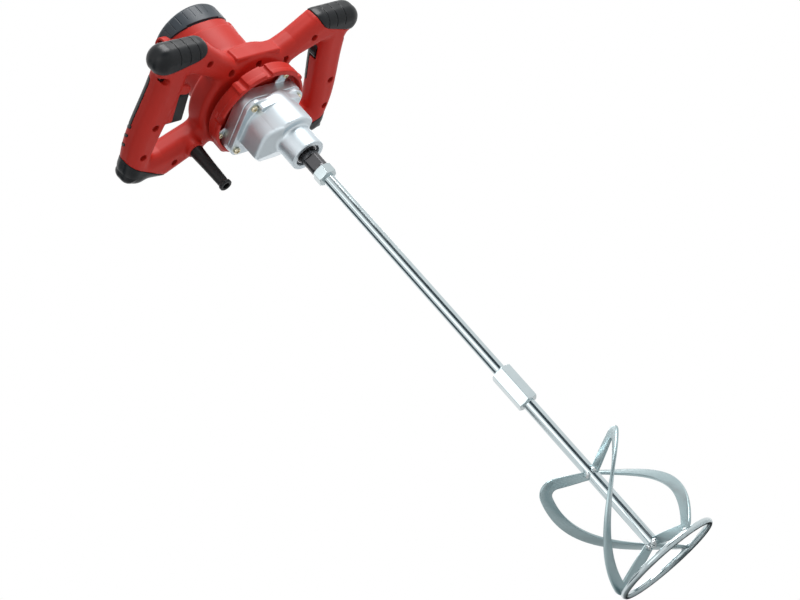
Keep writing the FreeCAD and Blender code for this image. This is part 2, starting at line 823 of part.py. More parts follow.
def screw(radius, length, head_radius, head_height):
    """A screw standing on its head, the shank pointing up, with a cross recess in the head."""
    body = upright(head_radius, 0, head_height).fuse(upright(radius, head_height, head_height + length))
    slot = head_radius * size("recess_width_share")
    long = head_radius * size("recess_length_share")
    for turn in (0, 90):
        recess = Part.makeBox(long, slot, head_height / 2, Vector(-long / 2, -slot / 2, 0))
        recess.rotate(Vector(), UP, turn)
        body = body.cut(recess)
    return body.removeSplitter()


def make_case_screws():
    under = size("flange_z") - size("flange_height") - size("case_screw_head_height")
    length = size("flange_height") + size("plate_height") - size("screw_end_gap")
    one = screw(size("case_screw_radius"), length, size("case_screw_head_radius"),
                size("case_screw_head_height"))
    group = [one.translated(Vector(x, y, under)) for x, y in ear_spots()]
    feature("gear_case_screws", Part.makeCompound(group))


def make_plate_screws():
    under = size("plate_z") - size("lug_height") - size("plate_screw_head_height")
    length = size("lug_height") + size("drum_floor") - size("screw_end_gap")
    one = screw(size("plate_screw_radius"), length, size("plate_screw_head_radius"),
                size("plate_screw_head_height"))
    group = [one.translated(Vector(x, y, under)) for x, y in lug_spots()]
    feature("plate_screws", Part.makeCompound(group))


# Motor
def make_armature():
    low = size("motor_gear_z")
    high = size("motor_gear_top_z")
    y = size("motor_y")
    teeth = int(size("motor_pinion_teeth"))
    face = gear_face(size("motor_module"), teeth, size("profile_shift"), math.pi / 2)
    extra = size("pinion_overlap")
    pinion = gear_solid(face, low - extra, high + extra, y)
    journal = upright(size("shaft_radius"), high + extra, size("rear_bearing_z"), 0, y)
    tail_end = size("rear_bearing_top_z") - size("shaft_end_gap")
    tail = upright(size("rear_journal_radius"), size("rear_bearing_z"), tail_end, 0, y)
    feature("armature_shaft", pinion.fuse(journal).fuse(tail).removeSplitter())

    core = turned([("shaft_radius", "armature_z"), ("armature_radius", "armature_z"),
                   ("armature_radius", "armature_top_z"), ("shaft_radius", "armature_top_z")], "motor_y")
    finish(core, "armature_core")
    for label, start, stop in (("armature_front_windings", "armature_z - winding_length", "armature_z"),
                               ("armature_rear_windings", "armature_top_z", "winding_top_z")):
        finish(sleeve("shaft_radius", "winding_radius", start, stop, "motor_y"), label)
    finish(sleeve("shaft_radius", "commutator_radius", "commutator_z", "commutator_top_z", "motor_y"),
           "commutator")

    hub = sleeve("shaft_radius", "fan_hub_radius", "fan_z", "fan_z + fan_height", "motor_y")
    disc = sleeve("shaft_radius", "fan_radius", "fan_z + fan_height - fan_disc_thickness",
                  "fan_z + fan_height", "motor_y")
    blades = []
    blade_count = int(size("fan_blades"))
    for k in range(blade_count):
        blade = Part.makeBox(size("fan_radius") - size("fan_hub_radius"), size("fan_blade_thickness"),
                             size("fan_height") - size("fan_disc_thickness") / 2,
                             Vector(size("fan_hub_radius") - size("fan_blade_overlap"), 0, size("fan_z")))
        blade.rotate(Vector(), UP, 360 / blade_count * k)
        blades.append(blade.translated(Vector(0, y, 0)))
    doc.recompute()
    shape = hub.Shape.copy().fuse([disc.Shape.copy()] + blades).removeSplitter()
    feature("fan", shape)


def make_motor_bearings():
    finish(sleeve("shaft_radius + running_fit", "front_bearing_radius", "front_bearing_z", "plate_z",
                  "motor_y"), "motor_front_bearing")
    finish(sleeve("rear_journal_radius + running_fit", "rear_bearing_radius", "rear_bearing_z",
                  "rear_bearing_top_z", "motor_y"), "motor_rear_bearing")


def make_field():
    y = size("motor_y")
    low = size("armature_z") + size("field_end_gap")
    high = size("armature_top_z") - size("field_end_gap")
    core = upright(size("motor_bore"), low, high, 0, y)
    core = core.cut(upright(size("armature_radius") + size("air_gap"), low, high, 0, y))
    window = size("field_window") / 2
    inner = size("armature_radius") + size("air_gap") + size("field_rim")
    outer = size("motor_bore") - size("field_rim")
    coils = []
    start = low - size("coil_length")
    stop = high + size("coil_length")
    ring = upright(outer, start, stop, 0, y).cut(upright(inner, start, stop, 0, y))
    for side in (1, -1):
        corner = Vector(0 if side > 0 else -outer, y - window, start)
        lane = Part.makeBox(outer, window * 2, stop - start, corner)
        coils.append(ring.common(lane))
    for coil in coils:
        core = core.cut(coil)
    feature("field_core", core)
    feature("field_coils", Part.makeCompound(coils))


def brush_lane(inner, outer, across, side):
    """A square bar along X between two distances from the motor axis."""
    start = inner if side > 0 else -outer
    return Part.makeBox(outer - inner, across, across,
                        Vector(start, size("motor_y") - across / 2, size("brush_z") - across / 2))


def make_brushes():
    contact = size("commutator_radius") + size("brush_gap")
    holder_end = size("motor_radius") + size("brush_boss_rise")
    holders = []
    brushes = []
    caps = []
    for side in (1, -1):
        holder = brush_lane(contact + size("brush_lead"), holder_end, size("brush_holder_size"), side)
        lane = brush_lane(contact, holder_end, size("brush_size") + size("brush_gap"), side)
        holders.append(holder.cut(lane))
        brushes.append(brush_lane(contact, contact + size("brush_length"), size("brush_size"), side))
        axis = Vector(side, 0, 0)
        seat = Vector(side * holder_end, size("motor_y"), size("brush_z"))
        cap = Part.makeCylinder(size("brush_cap_radius"), size("brush_cap_height"), seat, axis)
        width = size("brush_slot_width")
        long = size("brush_cap_radius") * size("brush_slot_share")
        slot = Part.makeBox(width, long, width, Vector(-width / 2, -long / 2, -width / 2))
        slot = slot.translated(seat + axis * size("brush_cap_height"))
        caps.append(cap.cut(slot))
    feature("brush_holders", Part.makeCompound(holders))
    feature("brushes", Part.makeCompound(brushes))
    feature("brush_caps", Part.makeCompound(caps))


def make_rear_cap():
    bore = "spigot_radius + cap_fit"
    edge = "cap_top_z - cap_rounding"
    ceiling = "cap_top_z - cap_wall"
    bevel = "cap_rounding * cap_bevel_share"
    cap = turned([(bore, "cap_z"), ("motor_radius", "cap_z"), ("motor_radius", edge),
                  (f"motor_radius - {bevel}", f"cap_top_z - {bevel}"),
                  ("motor_radius - cap_rounding", "cap_top_z"), ("0", "cap_top_z"), ("0", ceiling),
                  ("motor_radius - cap_rounding", ceiling), (bore, edge)], "barrel_y")
    doc.recompute()
    shape = cap.Shape.copy()
    slots = []
    count = int(size("cap_slots"))
    depth = size("cap_slot_depth")
    end = size("cap_slot_end")
    for k in range(count):
        corner = Vector(size("motor_radius") - depth, -size("cap_slot_width") / 2, size("cap_z") + end)
        slot = Part.makeBox(2 * depth, size("cap_slot_width"), size("cap_height") - 2 * end, corner)
        slot.rotate(Vector(), UP, 360 / count * (k + 0.5))
        slots.append(slot.translated(Vector(0, size("barrel_y"), 0)))
    top = size("cap_top_z")
    seat = size("cap_z") + size("spigot_length")
    inner_top = top - size("cap_wall")
    shelf = inner_top - size("cap_screw_sink")
    for x, y in cap_screw_spots():
        shape = shape.fuse(upright(size("cap_boss_radius"), seat, inner_top, x, y))
        shape = shape.cut(upright(size("cap_screw_radius"), seat, top, x, y))
        shape = shape.cut(upright(size("cap_screw_head_radius") + size("slide_clearance"), shelf, top, x, y))
    for side in (1, -1):
        shape = shape.cut(Part.makeCylinder(size("brush_boss_radius") + size("slide_clearance"),
                                            size("motor_radius") + size("brush_cap_height"),
                                            Vector(0, size("motor_y"), size("brush_z")), Vector(side, 0, 0)))
    feature("rear_cap", shape.cut(slots))

    one = screw(size("cap_screw_radius"), shelf - seat + size("cap_screw_bite"),
                size("cap_screw_head_radius"), size("cap_screw_head_height"))
    one.rotate(Vector(), Vector(1, 0, 0), 180)
    lift = shelf + size("cap_screw_head_height")
    group = [one.translated(Vector(x, y, lift)) for x, y in cap_screw_spots()]
    feature("cap_screws", Part.makeCompound(group))


def cap_screw_spots():
    """Where the screws of the rear cap stand."""
    count = int(size("cap_screw_count"))
    for k in range(count):
        angle = 2 * math.pi * (k + 0.5) / count
        yield (size("cap_screw_circle") * math.cos(angle),
               size("barrel_y") + size("cap_screw_circle") * math.sin(angle))


# Handle housing
HANDLE = FreeCAD.Placement(Vector(0, 0, size("handle_z")),
                           FreeCAD.Rotation(Vector(1, 0, 0), -size("handle_tilt")))


def tilted(shape):
    """Carry a shape from the flat plan of the handles to its place on the drill."""
    moved = shape.copy()
    moved.Placement = HANDLE.multiply(moved.Placement)
    return moved


def handle_outline():
    """The outer outline of the two handle loops, seen square to their plane."""
    half = size("handle_half_width")
    horn = -size("horn_reach")
    right = [(size("saddle_share") * half, -size("saddle_reach"), size("saddle_corner")),
             (size("arm_bend_share") * half, -size("arm_bend"), size("arm_bend_corner")),
             (size("horn_inner_share") * half, horn, size("horn_inner_corner")),
             (size("horn_outer_share") * half, horn, size("horn_outer_corner")),
             (half - size("grip_waist"), size("waist_place"), size("waist_corner")),
             (half, size("foot_tip"), size("foot_outer_corner")),
             (size("foot_inner_share") * half, size("foot_reach"), size("foot_inner_corner")),
             (size("back_share") * half, size("back_reach"), size("back_corner"))]
    left = [(-x, y, radius) for x, y, radius in reversed(right)]
    return right + left


def opening_outline(side):
    """The finger opening of one loop."""
    half = size("handle_half_width")
    body = size("drum_radius")
    front = size("front_arm_width") - size("horn_reach")
    corner = size("opening_corner")
    right = [(body, -size("opening_front"), size("opening_inner_corner")),
             (half - size("opening_front_margin"), front, corner),
             (half - size("belly_margin"), size("belly_place"), size("belly_corner")),
             (half - size("opening_back_margin"), size("opening_reach"), corner),
             (body, size("opening_back"), corner)]
    if side > 0:
        return right
    return [(-x, y, radius) for x, y, radius in reversed(right)]


def loops(inset):
    """Both handle loops as one rounded bar, drawn in by an inset all round."""
    face = Part.Face(rounded_wire(handle_outline()))
    for side in (1, -1):
        face = face.cut(Part.Face(rounded_wire(opening_outline(side))))
    face = face.Faces[0]
    if inset:
        face = face.makeOffset2D(-inset).Faces[0]
    half = size("handle_thickness") / 2 - inset
    bar = face.translated(Vector(0, 0, -half)).extrude(UP * (2 * half))
    rims = [edge for edge in bar.Edges if abs(abs(edge.CenterOfMass.z) - half) < 0.001]
    return bar.makeFillet(size("handle_rounding") - inset, rims)


def drum(inset, low, high):
    """The round middle of the housing over the gear plate."""
    radius = size("drum_radius") - inset
    step = size("drum_step")
    neck = size("plate_z") + size("collar_height") - inset
    shoulder = high - size("drum_shoulder")
    spots = [Vector(0, 0, low), Vector(radius, 0, low), Vector(radius, 0, neck),
             Vector(radius - step, 0, neck + step), Vector(radius - step, 0, shoulder),
             Vector(radius - step - size("drum_shoulder"), 0, high), Vector(0, 0, high), Vector(0, 0, low)]
    return Part.Face(Part.makePolygon(spots)).revolve(Vector(), UP, 360).translated(
        Vector(0, size("drum_offset"), 0))


def middle_disc(inset):
    """The round middle of the two loops, lying in their plane."""
    half = size("disc_thickness") / 2 - inset
    disc = upright(size("disc_radius") - inset, -half, half, 0, size("disc_offset"))
    rims = [edge for edge in disc.Edges if abs(abs(edge.CenterOfMass.z) - half) < 0.001]
    return disc.makeFillet(size("disc_rounding") - inset / 2, rims)


# Screws of each loop in the flat plan: margin in from the half width or share of it, place along the loop
GRIP_SCREWS = {"horn": (21.0, -44.0), "grip": (22.5, 19.0), "foot": (16.5, 60.0)}
ARM_SCREWS = {"front arm": (0.503, -56.5), "saddle": (0.263, -34.7), "rear arm": (0.572, 82.0)}


def screw_spots():
    """Where the handle screws stand, in the flat plan of the handles."""
    half = size("handle_half_width")
    for side in (1, -1):
        for margin, y in GRIP_SCREWS.values():
            yield (side * (half - margin), y)
        for share, y in ARM_SCREWS.values():
            yield (side * share * half, y)
    yield (0, -size("middle_screw_reach"))


def horn_zone(side):
    """The front edge of a loop that the dark horn covers, up to a line that slants across the arm."""
    half = size("handle_half_width")
    front = -size("horn_reach")
    inner = size("horn_inner_share") * half
    outer = half + size("handle_rounding")
    middle = grip_inside()
    turn = size("horn_corner")
    line = front + size("horn_depth")
    corners = [(inner, front - turn), (inner, line - size("horn_slope") * (middle - inner) - turn),
               (inner + turn, line - size("horn_slope") * (middle - inner - turn)),
               (outer, line + size("horn_slope") * (outer - middle)), (outer, front - turn)]
    deep = size("handle_thickness")
    return prism([(side * x, y) for x, y in corners], -deep, deep)


def foot_zone(side):
    """The back edge of a loop that the dark foot covers, behind a line that slants in towards the middle."""
    outer = size("handle_half_width") + size("handle_rounding")
    back = size("foot_reach") + size("handle_rounding")
    line = size("foot_line") - size("foot_slope") * size("handle_rounding")
    inner = outer - (back - line) / size("foot_slope")
    deep = size("handle_thickness")
    return prism([(side * x, y) for x, y in ((inner, back), (outer, line), (outer, back))], -deep, deep)


def pad_zone(side):
    """A pointed patch over the upper side of a grip, for the soft inlay."""
    half = size("handle_half_width")
    rounding = size("handle_rounding")
    inner = half - size("belly_margin") - 2 * rounding
    outer = half + rounding
    front, back, point = size("pad_front"), size("pad_back"), size("pad_point")
    corners = [(inner, front + point), (grip_x(), front), (outer, front + point),
               (outer, back - point), (grip_x(), back), (inner, back - point)]
    top = size("handle_thickness") / 2
    return prism([(side * x, y) for x, y in corners], top - size("pad_depth"), 2 * top)


def grip_inside():
    """Distance of the grip's inner side from the spindle plane, beside the trigger."""
    return size("handle_half_width") - size("grip_inner_margin")


def grip_x():
    """Distance of the grip's middle line from the spindle plane."""
    return size("handle_half_width") - size("grip_middle_margin")


def bracket_block(clearance, offset, length, height, reach, depth):
    """A block on the inner side of the trigger grip, drawn on the flat plan."""
    corner = Vector(-grip_inside() - depth, offset - length / 2 - clearance, -height / 2 - clearance)
    return Part.makeBox(reach + depth, length + 2 * clearance, height + 2 * clearance, corner)


def make_housing():
    base = size("plate_z")
    top = base + size("drum_height")
    cap = size("cap_z")
    y = size("motor_y")

    bars = loops(0)
    bracket = bracket_block(0, size("bracket_offset"), size("bracket_length"), size("bracket_height"),
                            size("bracket_reach"), size("bracket_depth"))
    face = bracket.BoundBox.XMax
    rims = [edge for edge in bracket.Edges if edge.CenterOfMass.x > face - 0.1]
    bracket = bracket.makeFillet(size("bracket_rounding"), rims)
    outer = tilted(bars.fuse(bracket).fuse(middle_disc(0)))
    outer = outer.fuse(drum(0, base, top))
    barrel_y = size("barrel_y")
    outer = outer.fuse(upright(size("motor_radius"), base + size("drum_height") / 2, cap, 0, barrel_y))
    outer = outer.fuse(upright(size("spigot_radius"), cap, cap + size("spigot_length"), 0, barrel_y))
    for side in (1, -1):
        boss = Part.makeCylinder(size("brush_boss_radius"), size("motor_radius") + size("brush_boss_rise"),
                                 Vector(0, y, size("brush_z")), Vector(side, 0, 0))
        outer = outer.fuse(boss)

    wall = size("handle_wall")
    hollow = tilted(loops(wall).fuse(middle_disc(wall)))
    hollow = hollow.fuse(drum(wall, base + size("drum_floor"), top - wall))
    field_top = size("armature_top_z") + size("coil_length")
    motor_space = upright(size("motor_bore"), base + size("drum_floor"), field_top, 0, y)
    seat_floor = size("rear_bearing_z") - size("bearing_seat_wall")
    rear_bore = size("spigot_radius") - size("motor_wall")
    motor_space = motor_space.fuse(upright(rear_bore, field_top, seat_floor, 0, y))
    hollow = hollow.fuse(upright(size("rear_bearing_radius"), seat_floor, size("rear_bearing_top_z"), 0, y))
    hollow = hollow.fuse(upright(size("air_inlet_radius"), base, base + size("drum_floor"), 0, y))

    bosses = []
    holes = []
    half = size("handle_thickness") / 2
    for x, v in screw_spots():
        bosses.append(tilted(upright(size("screw_boss_radius"), wall / 2 - half, half - wall / 2, x, v)))
        holes.append(tilted(upright(size("screw_hole_radius"), -half, size("screw_hole_depth") - half, x, v)))
        holes.append(tilted(upright(size("handle_screw_radius"), -half, size("screw_hole_end"), x, v)))
    for boss in bosses:
        hollow = hollow.cut(boss)
    shell = outer.cut(hollow.fuse(motor_space))
    shell = shell.cut(holes)
    for x, v in lug_spots():
        shell = shell.cut(upright(size("plate_screw_radius"), base,
                                  base + size("drum_floor") - size("screw_end_gap"), x, v))
    for x, v in cap_screw_spots():
        shell = shell.cut(upright(size("cap_screw_radius"), cap, cap + size("spigot_length"), x, v))
    for side in (1, -1):
        shell = shell.cut(brush_lane(0, size("motor_radius") + size("brush_boss_rise"),
                                     size("brush_holder_size"), side))
    slot = bracket_block(size("slide_clearance"), size("trigger_offset"), size("trigger_length"),
                         size("trigger_height"), size("bracket_reach") + size("trigger_reach"),
                         size("trigger_depth") + size("trigger_travel") + size("switch_gap"))
    shell = shell.cut(tilted(slot))
    x, v = button_spot()
    shell = shell.cut(tilted(upright(size("button_radius") + size("slide_clearance"), 0, half, x, v)))
    x, v = dial_spot()
    room = size("dial_width") / 2 + size("slide_clearance")
    shell = shell.cut(tilted(upright(size("dial_radius") + size("slide_clearance"), -room, room, x, v)))
    entry = boot_root_z()
    x, v = -size("boot_across"), size("boot_back")
    seat = size("boot_seat_depth")
    shell = shell.cut(upright(size("boot_root_radius"), entry - 2 * seat, entry + seat, x, v))
    shell = shell.cut(upright(size("cord_hole_radius"), entry, entry + size("cord_hole_depth"), x, v))

    for side, word in ((1, "right"), (-1, "left")):
        horn = tilted(horn_zone(side))
        foot = tilted(foot_zone(side))
        pad = tilted(pad_zone(side))
        plain = tilted(bars)
        feature(f"horn_{word}", plain.common(horn).cut(tilted(loops(wall))).cut(holes))
        feature(f"foot_{word}", plain.common(foot).cut(tilted(loops(wall))).cut(holes))
        feature(f"grip_pad_{word}", plain.common(pad))
        shell = shell.cut([horn, foot, pad])

    reach = 2 * size("handle_half_width")
    lower_half = tilted(Part.makeBox(2 * reach, 2 * reach, reach, Vector(-reach, -reach, -reach)))
    upper_half = tilted(Part.makeBox(2 * reach, 2 * reach, reach, Vector(-reach, -reach, 0)))
    feature("handle_lower_shell", shell.common(lower_half))
    feature("handle_upper_shell", shell.common(upper_half))


# Controls and cord entry
def make_trigger():
    inside = grip_inside()
    y = size("trigger_offset")
    length = size("trigger_length")
    height = size("trigger_height")
    front = size("bracket_reach") + size("trigger_reach")
    depth = size("trigger_depth")
    key = Part.makeBox(front + depth, length, height, Vector(-inside - depth, y - length / 2, -height / 2))
    face = key.BoundBox.XMax
    rims = [edge for edge in key.Edges if edge.CenterOfMass.x > face - 0.1]
    key = key.makeFillet(size("trigger_rounding"), rims)
    reach = depth + size("plunger_depth")
    y = size("plunger_offset")
    corner = Vector(-inside - reach, y - size("plunger_length") / 2, -size("plunger_height") / 2)
    plunger = Part.makeBox(size("plunger_depth"), size("plunger_length"), size("plunger_height"), corner)
    feature("trigger", tilted(key.fuse(plunger).removeSplitter()))

    back = inside + reach + size("trigger_travel") + size("switch_gap") + size("switch_depth")
    floor = size("handle_wall") - size("handle_thickness") / 2
    body = Part.makeBox(size("switch_depth"), size("switch_length"), size("switch_rise") - floor,
                        Vector(-back, y - size("switch_length") / 2, floor))
    feature("switch_body", tilted(body))


def button_spot():
    """Middle of the lock button on the upper side of the trigger grip."""
    y = size("bracket_offset") + size("bracket_length") / 2 + size("button_radius") + size("button_gap")
    return -grip_x(), y


def make_lock_button():
    x, y = button_spot()
    top = size("handle_thickness") / 2
    low = top - size("button_height")
    button = upright(size("button_radius"), low, top + size("button_rise"), x, y)
    rim = [edge for edge in button.Edges if edge.CenterOfMass.z > top + size("button_rise") - 0.1]
    button = button.makeFillet(size("button_rounding"), rim)
    step = size("button_flange")
    flange = upright(size("button_radius") + step, low - step, low, x, y)
    feature("lock_button", tilted(button.fuse(flange).removeSplitter()))


def dial_spot():
    """Middle of the speed wheel, inside the front corner of the second handle."""
    y = size("front_arm_width") - size("horn_reach") + size("dial_back")
    return size("handle_half_width") - size("dial_margin"), y


def make_speed_dial():
    x, y = dial_spot()
    half = size("dial_width") / 2
    wheel = upright(size("dial_radius"), -half, half)
    count = int(size("dial_grooves"))
    grooves = []
    for k in range(count):
        angle = 2 * math.pi * k / count
        grooves.append(upright(size("dial_groove_radius"), -half, half, size("dial_radius") * math.cos(angle),
                               size("dial_radius") * math.sin(angle)))
    wheel = wheel.cut(grooves)
    gap = size("slide_clearance")
    top = half + gap + size("control_height")
    wheel = wheel.fuse(upright(size("dial_pin_radius"), half, top))
    feature("speed_dial", tilted(wheel.translated(Vector(x, y, 0))))
    pot = upright(size("control_radius"), half + gap, top)
    pot = pot.cut(upright(size("dial_pin_radius") + size("running_fit"), half, top))
    feature("speed_control", tilted(pot.translated(Vector(x, y, 0))))


def make_boot():
    root = boot_root_z()
    tip = f"{root} - boot_length"
    bore = "cord_radius + cord_clearance"
    seat = f"{root} + boot_seat_depth"
    boot = turned([(bore, tip), ("boot_flange_radius", tip),
                   ("boot_flange_radius", f"{tip} + boot_flange_length"),
                   ("boot_tip_radius", f"{tip} + boot_flange_length + boot_flange_bevel"),
                   ("boot_root_radius", f"{root}"),
                   ("boot_root_radius", seat), (bore, seat)], "boot_back")
    tie(boot, {"Placement.Base.x": "-boot_across"})
    finish(boot, "cord_boot")


def boot_root_z():
    """Height at which the cord boot enters the underside of the rear arm."""
    tilt = math.radians(size("handle_tilt"))
    half = size("handle_thickness") / 2
    return size("handle_z") - size("boot_back") * math.tan(tilt) - half / math.cos(tilt)


def make_handle_screws():
    half = size("handle_thickness") / 2
    one = screw(size("handle_screw_radius"), size("handle_screw_length"), size("handle_screw_head_radius"),
                size("handle_screw_head_height"))
    start = size("screw_hole_depth") - half - size("handle_screw_head_height")
    group = [tilted(one.translated(Vector(x, y, start))) for x, y in screw_spots()]
    feature("handle_screws", Part.makeCompound(group))


STEPS = (make_stirrer_rods, make_spindle, make_nose_bearings, make_gears, make_gear_case,
         make_bearing_plate, make_case_screws, make_plate_screws, make_armature, make_motor_bearings,
         make_field, make_brushes, make_rear_cap, make_housing, make_trigger, make_lock_button, make_speed_dial,
         make_boot, make_handle_screws)

make_blades(make_stirrer_ring())
for step in STEPS:
    step()
doc.recompute()

for thing in doc.Objects:
    if {"Invalid", "Error"} & set(thing.State):
        raise RuntimeError(f"{thing.Label} failed: {thing.State}")
for node in nodes:
    if node.Shape.isNull() or not node.Shape.isValid() or not node.Shape.Solids:
        raise RuntimeError(f"{node.Label} has no valid solid")

os.makedirs("parts", exist_ok=True)
for node in nodes:
    node.Shape.exportStep(os.path.join("parts", node.Label + ".step"))
    print(f"{node.Label:32s} solids {len(node.Shape.Solids)}  volume {node.Shape.Volume:10.1f}")
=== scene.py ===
"""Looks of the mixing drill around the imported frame. Lengths named here are in millimetres."""
import json
import math

import bpy
import numpy as np
from mathutils import Matrix, Vector


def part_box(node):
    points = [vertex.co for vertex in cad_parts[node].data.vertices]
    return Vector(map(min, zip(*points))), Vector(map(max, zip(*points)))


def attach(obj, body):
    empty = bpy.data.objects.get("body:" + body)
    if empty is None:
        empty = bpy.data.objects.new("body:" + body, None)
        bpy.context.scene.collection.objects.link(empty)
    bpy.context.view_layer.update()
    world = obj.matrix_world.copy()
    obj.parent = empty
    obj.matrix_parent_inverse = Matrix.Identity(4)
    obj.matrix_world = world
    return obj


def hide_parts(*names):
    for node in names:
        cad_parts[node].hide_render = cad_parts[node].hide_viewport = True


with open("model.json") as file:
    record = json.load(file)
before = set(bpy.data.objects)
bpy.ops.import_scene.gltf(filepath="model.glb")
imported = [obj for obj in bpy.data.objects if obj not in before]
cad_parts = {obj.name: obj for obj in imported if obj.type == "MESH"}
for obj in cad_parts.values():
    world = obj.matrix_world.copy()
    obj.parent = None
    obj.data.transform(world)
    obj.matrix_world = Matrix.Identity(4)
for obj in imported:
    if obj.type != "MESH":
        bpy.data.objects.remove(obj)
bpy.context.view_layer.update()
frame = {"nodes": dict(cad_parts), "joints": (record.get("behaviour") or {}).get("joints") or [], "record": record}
nodes = frame["nodes"]
MM = 0.001
FAR = 1e3


# Places read from the frame
def node_box(name):
    """Lowest and highest corner of a node, in millimetres."""
    low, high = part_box(name)
    return np.array(low) / MM, np.array(high) / MM


def joint(name):
    """The frame's entry for a joint."""
    return next(entry for entry in frame["joints"] if entry["name"] == name)


NOSE_Z = node_box("gear_case")[0][2]
FLANGE_Z = NOSE_Z + 77.0
PLATE_Z = NOSE_Z + 89.0
HANDLE_Z = NOSE_Z + 126.0
CAP_Z = node_box("rear_cap")[0][2]
CAP_TOP_Z = node_box("rear_cap")[1][2]
CAP_RADIUS = node_box("rear_cap")[1][0]
BARREL_Y = (node_box("rear_cap")[0][1] + node_box("rear_cap")[1][1]) / 2
BRUSH_Z = (node_box("brush_caps")[0][2] + node_box("brush_caps")[1][2]) / 2
MOTOR_Y = joint("armature_spin")["pos_m"][1] / MM
TILT = math.atan2(joint("speed_turn")["axis"][1], joint("speed_turn")["axis"][2])
HANDLE_HALF = 16.5
HANDLE_ROUNDING = 13.5
SHELL_GAP = 0.03
ZONE_GAP = 0.25


# Distance fields: each takes arrays in millimetres and gives the distance to a surface, negative inside
def melt(first, second, blend):
    """Union of two fields with a soft fillet of about the blend's width."""
    share = np.clip(0.5 + 0.5 * (second - first) / blend, 0, 1)
    return second + (first - second) * share - blend * share * (1 - share)


def carve(first, second, blend):
    """First field without the second, with a softened edge."""
    return -melt(-first, second, blend)


def clip(first, second, blend):
    """Overlap of two fields, with a softened edge."""
    return -melt(-first, -second, blend)


def slab(outline, along, half, rounding):
    """A plan carried straight through a thickness, its rims rounded to a quarter circle."""
    side = outline + rounding
    face = np.abs(along) - (half - rounding)
    inner = np.minimum(np.maximum(side, face), 0)
    return inner + np.hypot(np.maximum(side, 0), np.maximum(face, 0)) - rounding


def block(x, y, z, centre, half, rounding):
    """A box with rounded edges."""
    dx = np.abs(x - centre[0]) - half[0] + rounding
    dy = np.abs(y - centre[1]) - half[1] + rounding
    dz = np.abs(z - centre[2]) - half[2] + rounding
    outside = np.sqrt(np.maximum(dx, 0) ** 2 + np.maximum(dy, 0) ** 2 + np.maximum(dz, 0) ** 2)
    return outside + np.minimum(np.maximum(np.maximum(dx, dy), dz), 0) - rounding


def bar(x, y, start, end):
    """Plan of a straight bar between ends (x, y, half width), its half width changing evenly."""
    run = (end[0] - start[0], end[1] - start[1])
    share = ((x - start[0]) * run[0] + (y - start[1]) * run[1]) / (run[0] ** 2 + run[1] ** 2)
    share = np.clip(share, 0, 1)
    across = np.hypot(x - start[0] - share * run[0], y - start[1] - share * run[1])
    return across - start[2] - share * (end[2] - start[2])


def arm(x, y, ends):
    """Plan of a bent arm: straight bars from each end to the next."""
    found = bar(x, y, ends[0], ends[1])
    for start, end in zip(ends[1:-1], ends[2:]):
        found = np.minimum(found, bar(x, y, start, end))
    return found


def drum(x, y, z, centre, radius, low, high, rounding):
    """An upright round block with rounded rims."""
    plan = np.hypot(x - centre[0], y - centre[1]) - radius
    return slab(plan, z - (low + high) / 2, (high - low) / 2, rounding)


def to_handle(y, z):
    """Plan coordinates of the tilted handles: along the loops and square to them."""
    lift = z - HANDLE_Z
    return y * math.cos(TILT) - lift * math.sin(TILT), y * math.sin(TILT) + lift * math.cos(TILT)


# Surfaces drawn from fields
def surface_net(field, origin, step):
    """One point in each cell that the surface passes, at the mean of the crossings on the cell's edges,
    and one four-sided face round each grid edge that the surface crosses, turned to face outwards."""
    inside = field < 0
    spans = [slice(0, -1), slice(1, None)]
    count = sum(inside[a, b, c].astype(np.int8) for a in spans for b in spans for c in spans)
    mixed = (count > 0) & (count < 8)
    cells = np.argwhere(mixed)
    index = np.full(mixed.shape, -1, np.int64)
    index[mixed] = np.arange(len(cells))
    total = np.zeros((len(cells), 3))
    hits = np.zeros(len(cells))
    unit = np.eye(3, dtype=int)
    for axis in range(3):
        second, third = unit[(axis + 1) % 3], unit[(axis + 2) % 3]
        for shift in (0 * second, second, third, second + third):
            start = cells + shift
            end = start + unit[axis]
            here = field[tuple(start.T)]
            there = field[tuple(end.T)]
            crossed = (here < 0) != (there < 0)
            share = np.where(crossed, here / np.where(crossed, here - there, 1), 0)
            total += np.where(crossed[:, None], start + share[:, None] * unit[axis], 0)
            hits += crossed
    points = np.array(origin) + step * total / hits[:, None]
    faces = []
    for axis in range(3):
        second, third = unit[(axis + 1) % 3], unit[(axis + 2) % 3]
        sides = second + third
        ahead = np.moveaxis(inside, axis, 0)
        change = np.moveaxis(ahead[:-1] != ahead[1:], 0, axis)
        edges = np.argwhere(change)
        edges = edges[np.all(edges + unit[axis] < field.shape, axis=1)]
        edges = edges[np.all((edges >= sides) & (edges * sides < np.array(index.shape)), axis=1)]
        ring = [edges, edges - second, edges - sides, edges - third]
        quads = np.stack([index[tuple(cell.T)] for cell in ring], axis=1)
        turned_round = ~inside[tuple(edges.T)]
        quads[turned_round] = quads[turned_round][:, ::-1]
        faces.append(quads)
    return points, np.concatenate(faces)


def gradient(shape, points):
    """Direction in which a field grows, from differences over a short reach."""
    reach = 0.04
    slopes = []
    for axis in range(3):
        ahead, behind = points.copy(), points.copy()
        ahead[:, axis] += reach
        behind[:, axis] -= reach
        slopes.append((shape(*ahead.T) - shape(*behind.T)) / (2 * reach))
    return np.stack(slopes, axis=1)


def drawn_to(shape, points, reach):
    """Points moved along a field's slope onto its surface, by no more than a reach."""
    least_steepness = 0.25
    slope = gradient(shape, points)
    steepness = np.maximum((slope ** 2).sum(axis=1), least_steepness)
    move = slope * (shape(*points.T) / steepness)[:, None]
    return points - np.clip(move, -reach, reach)


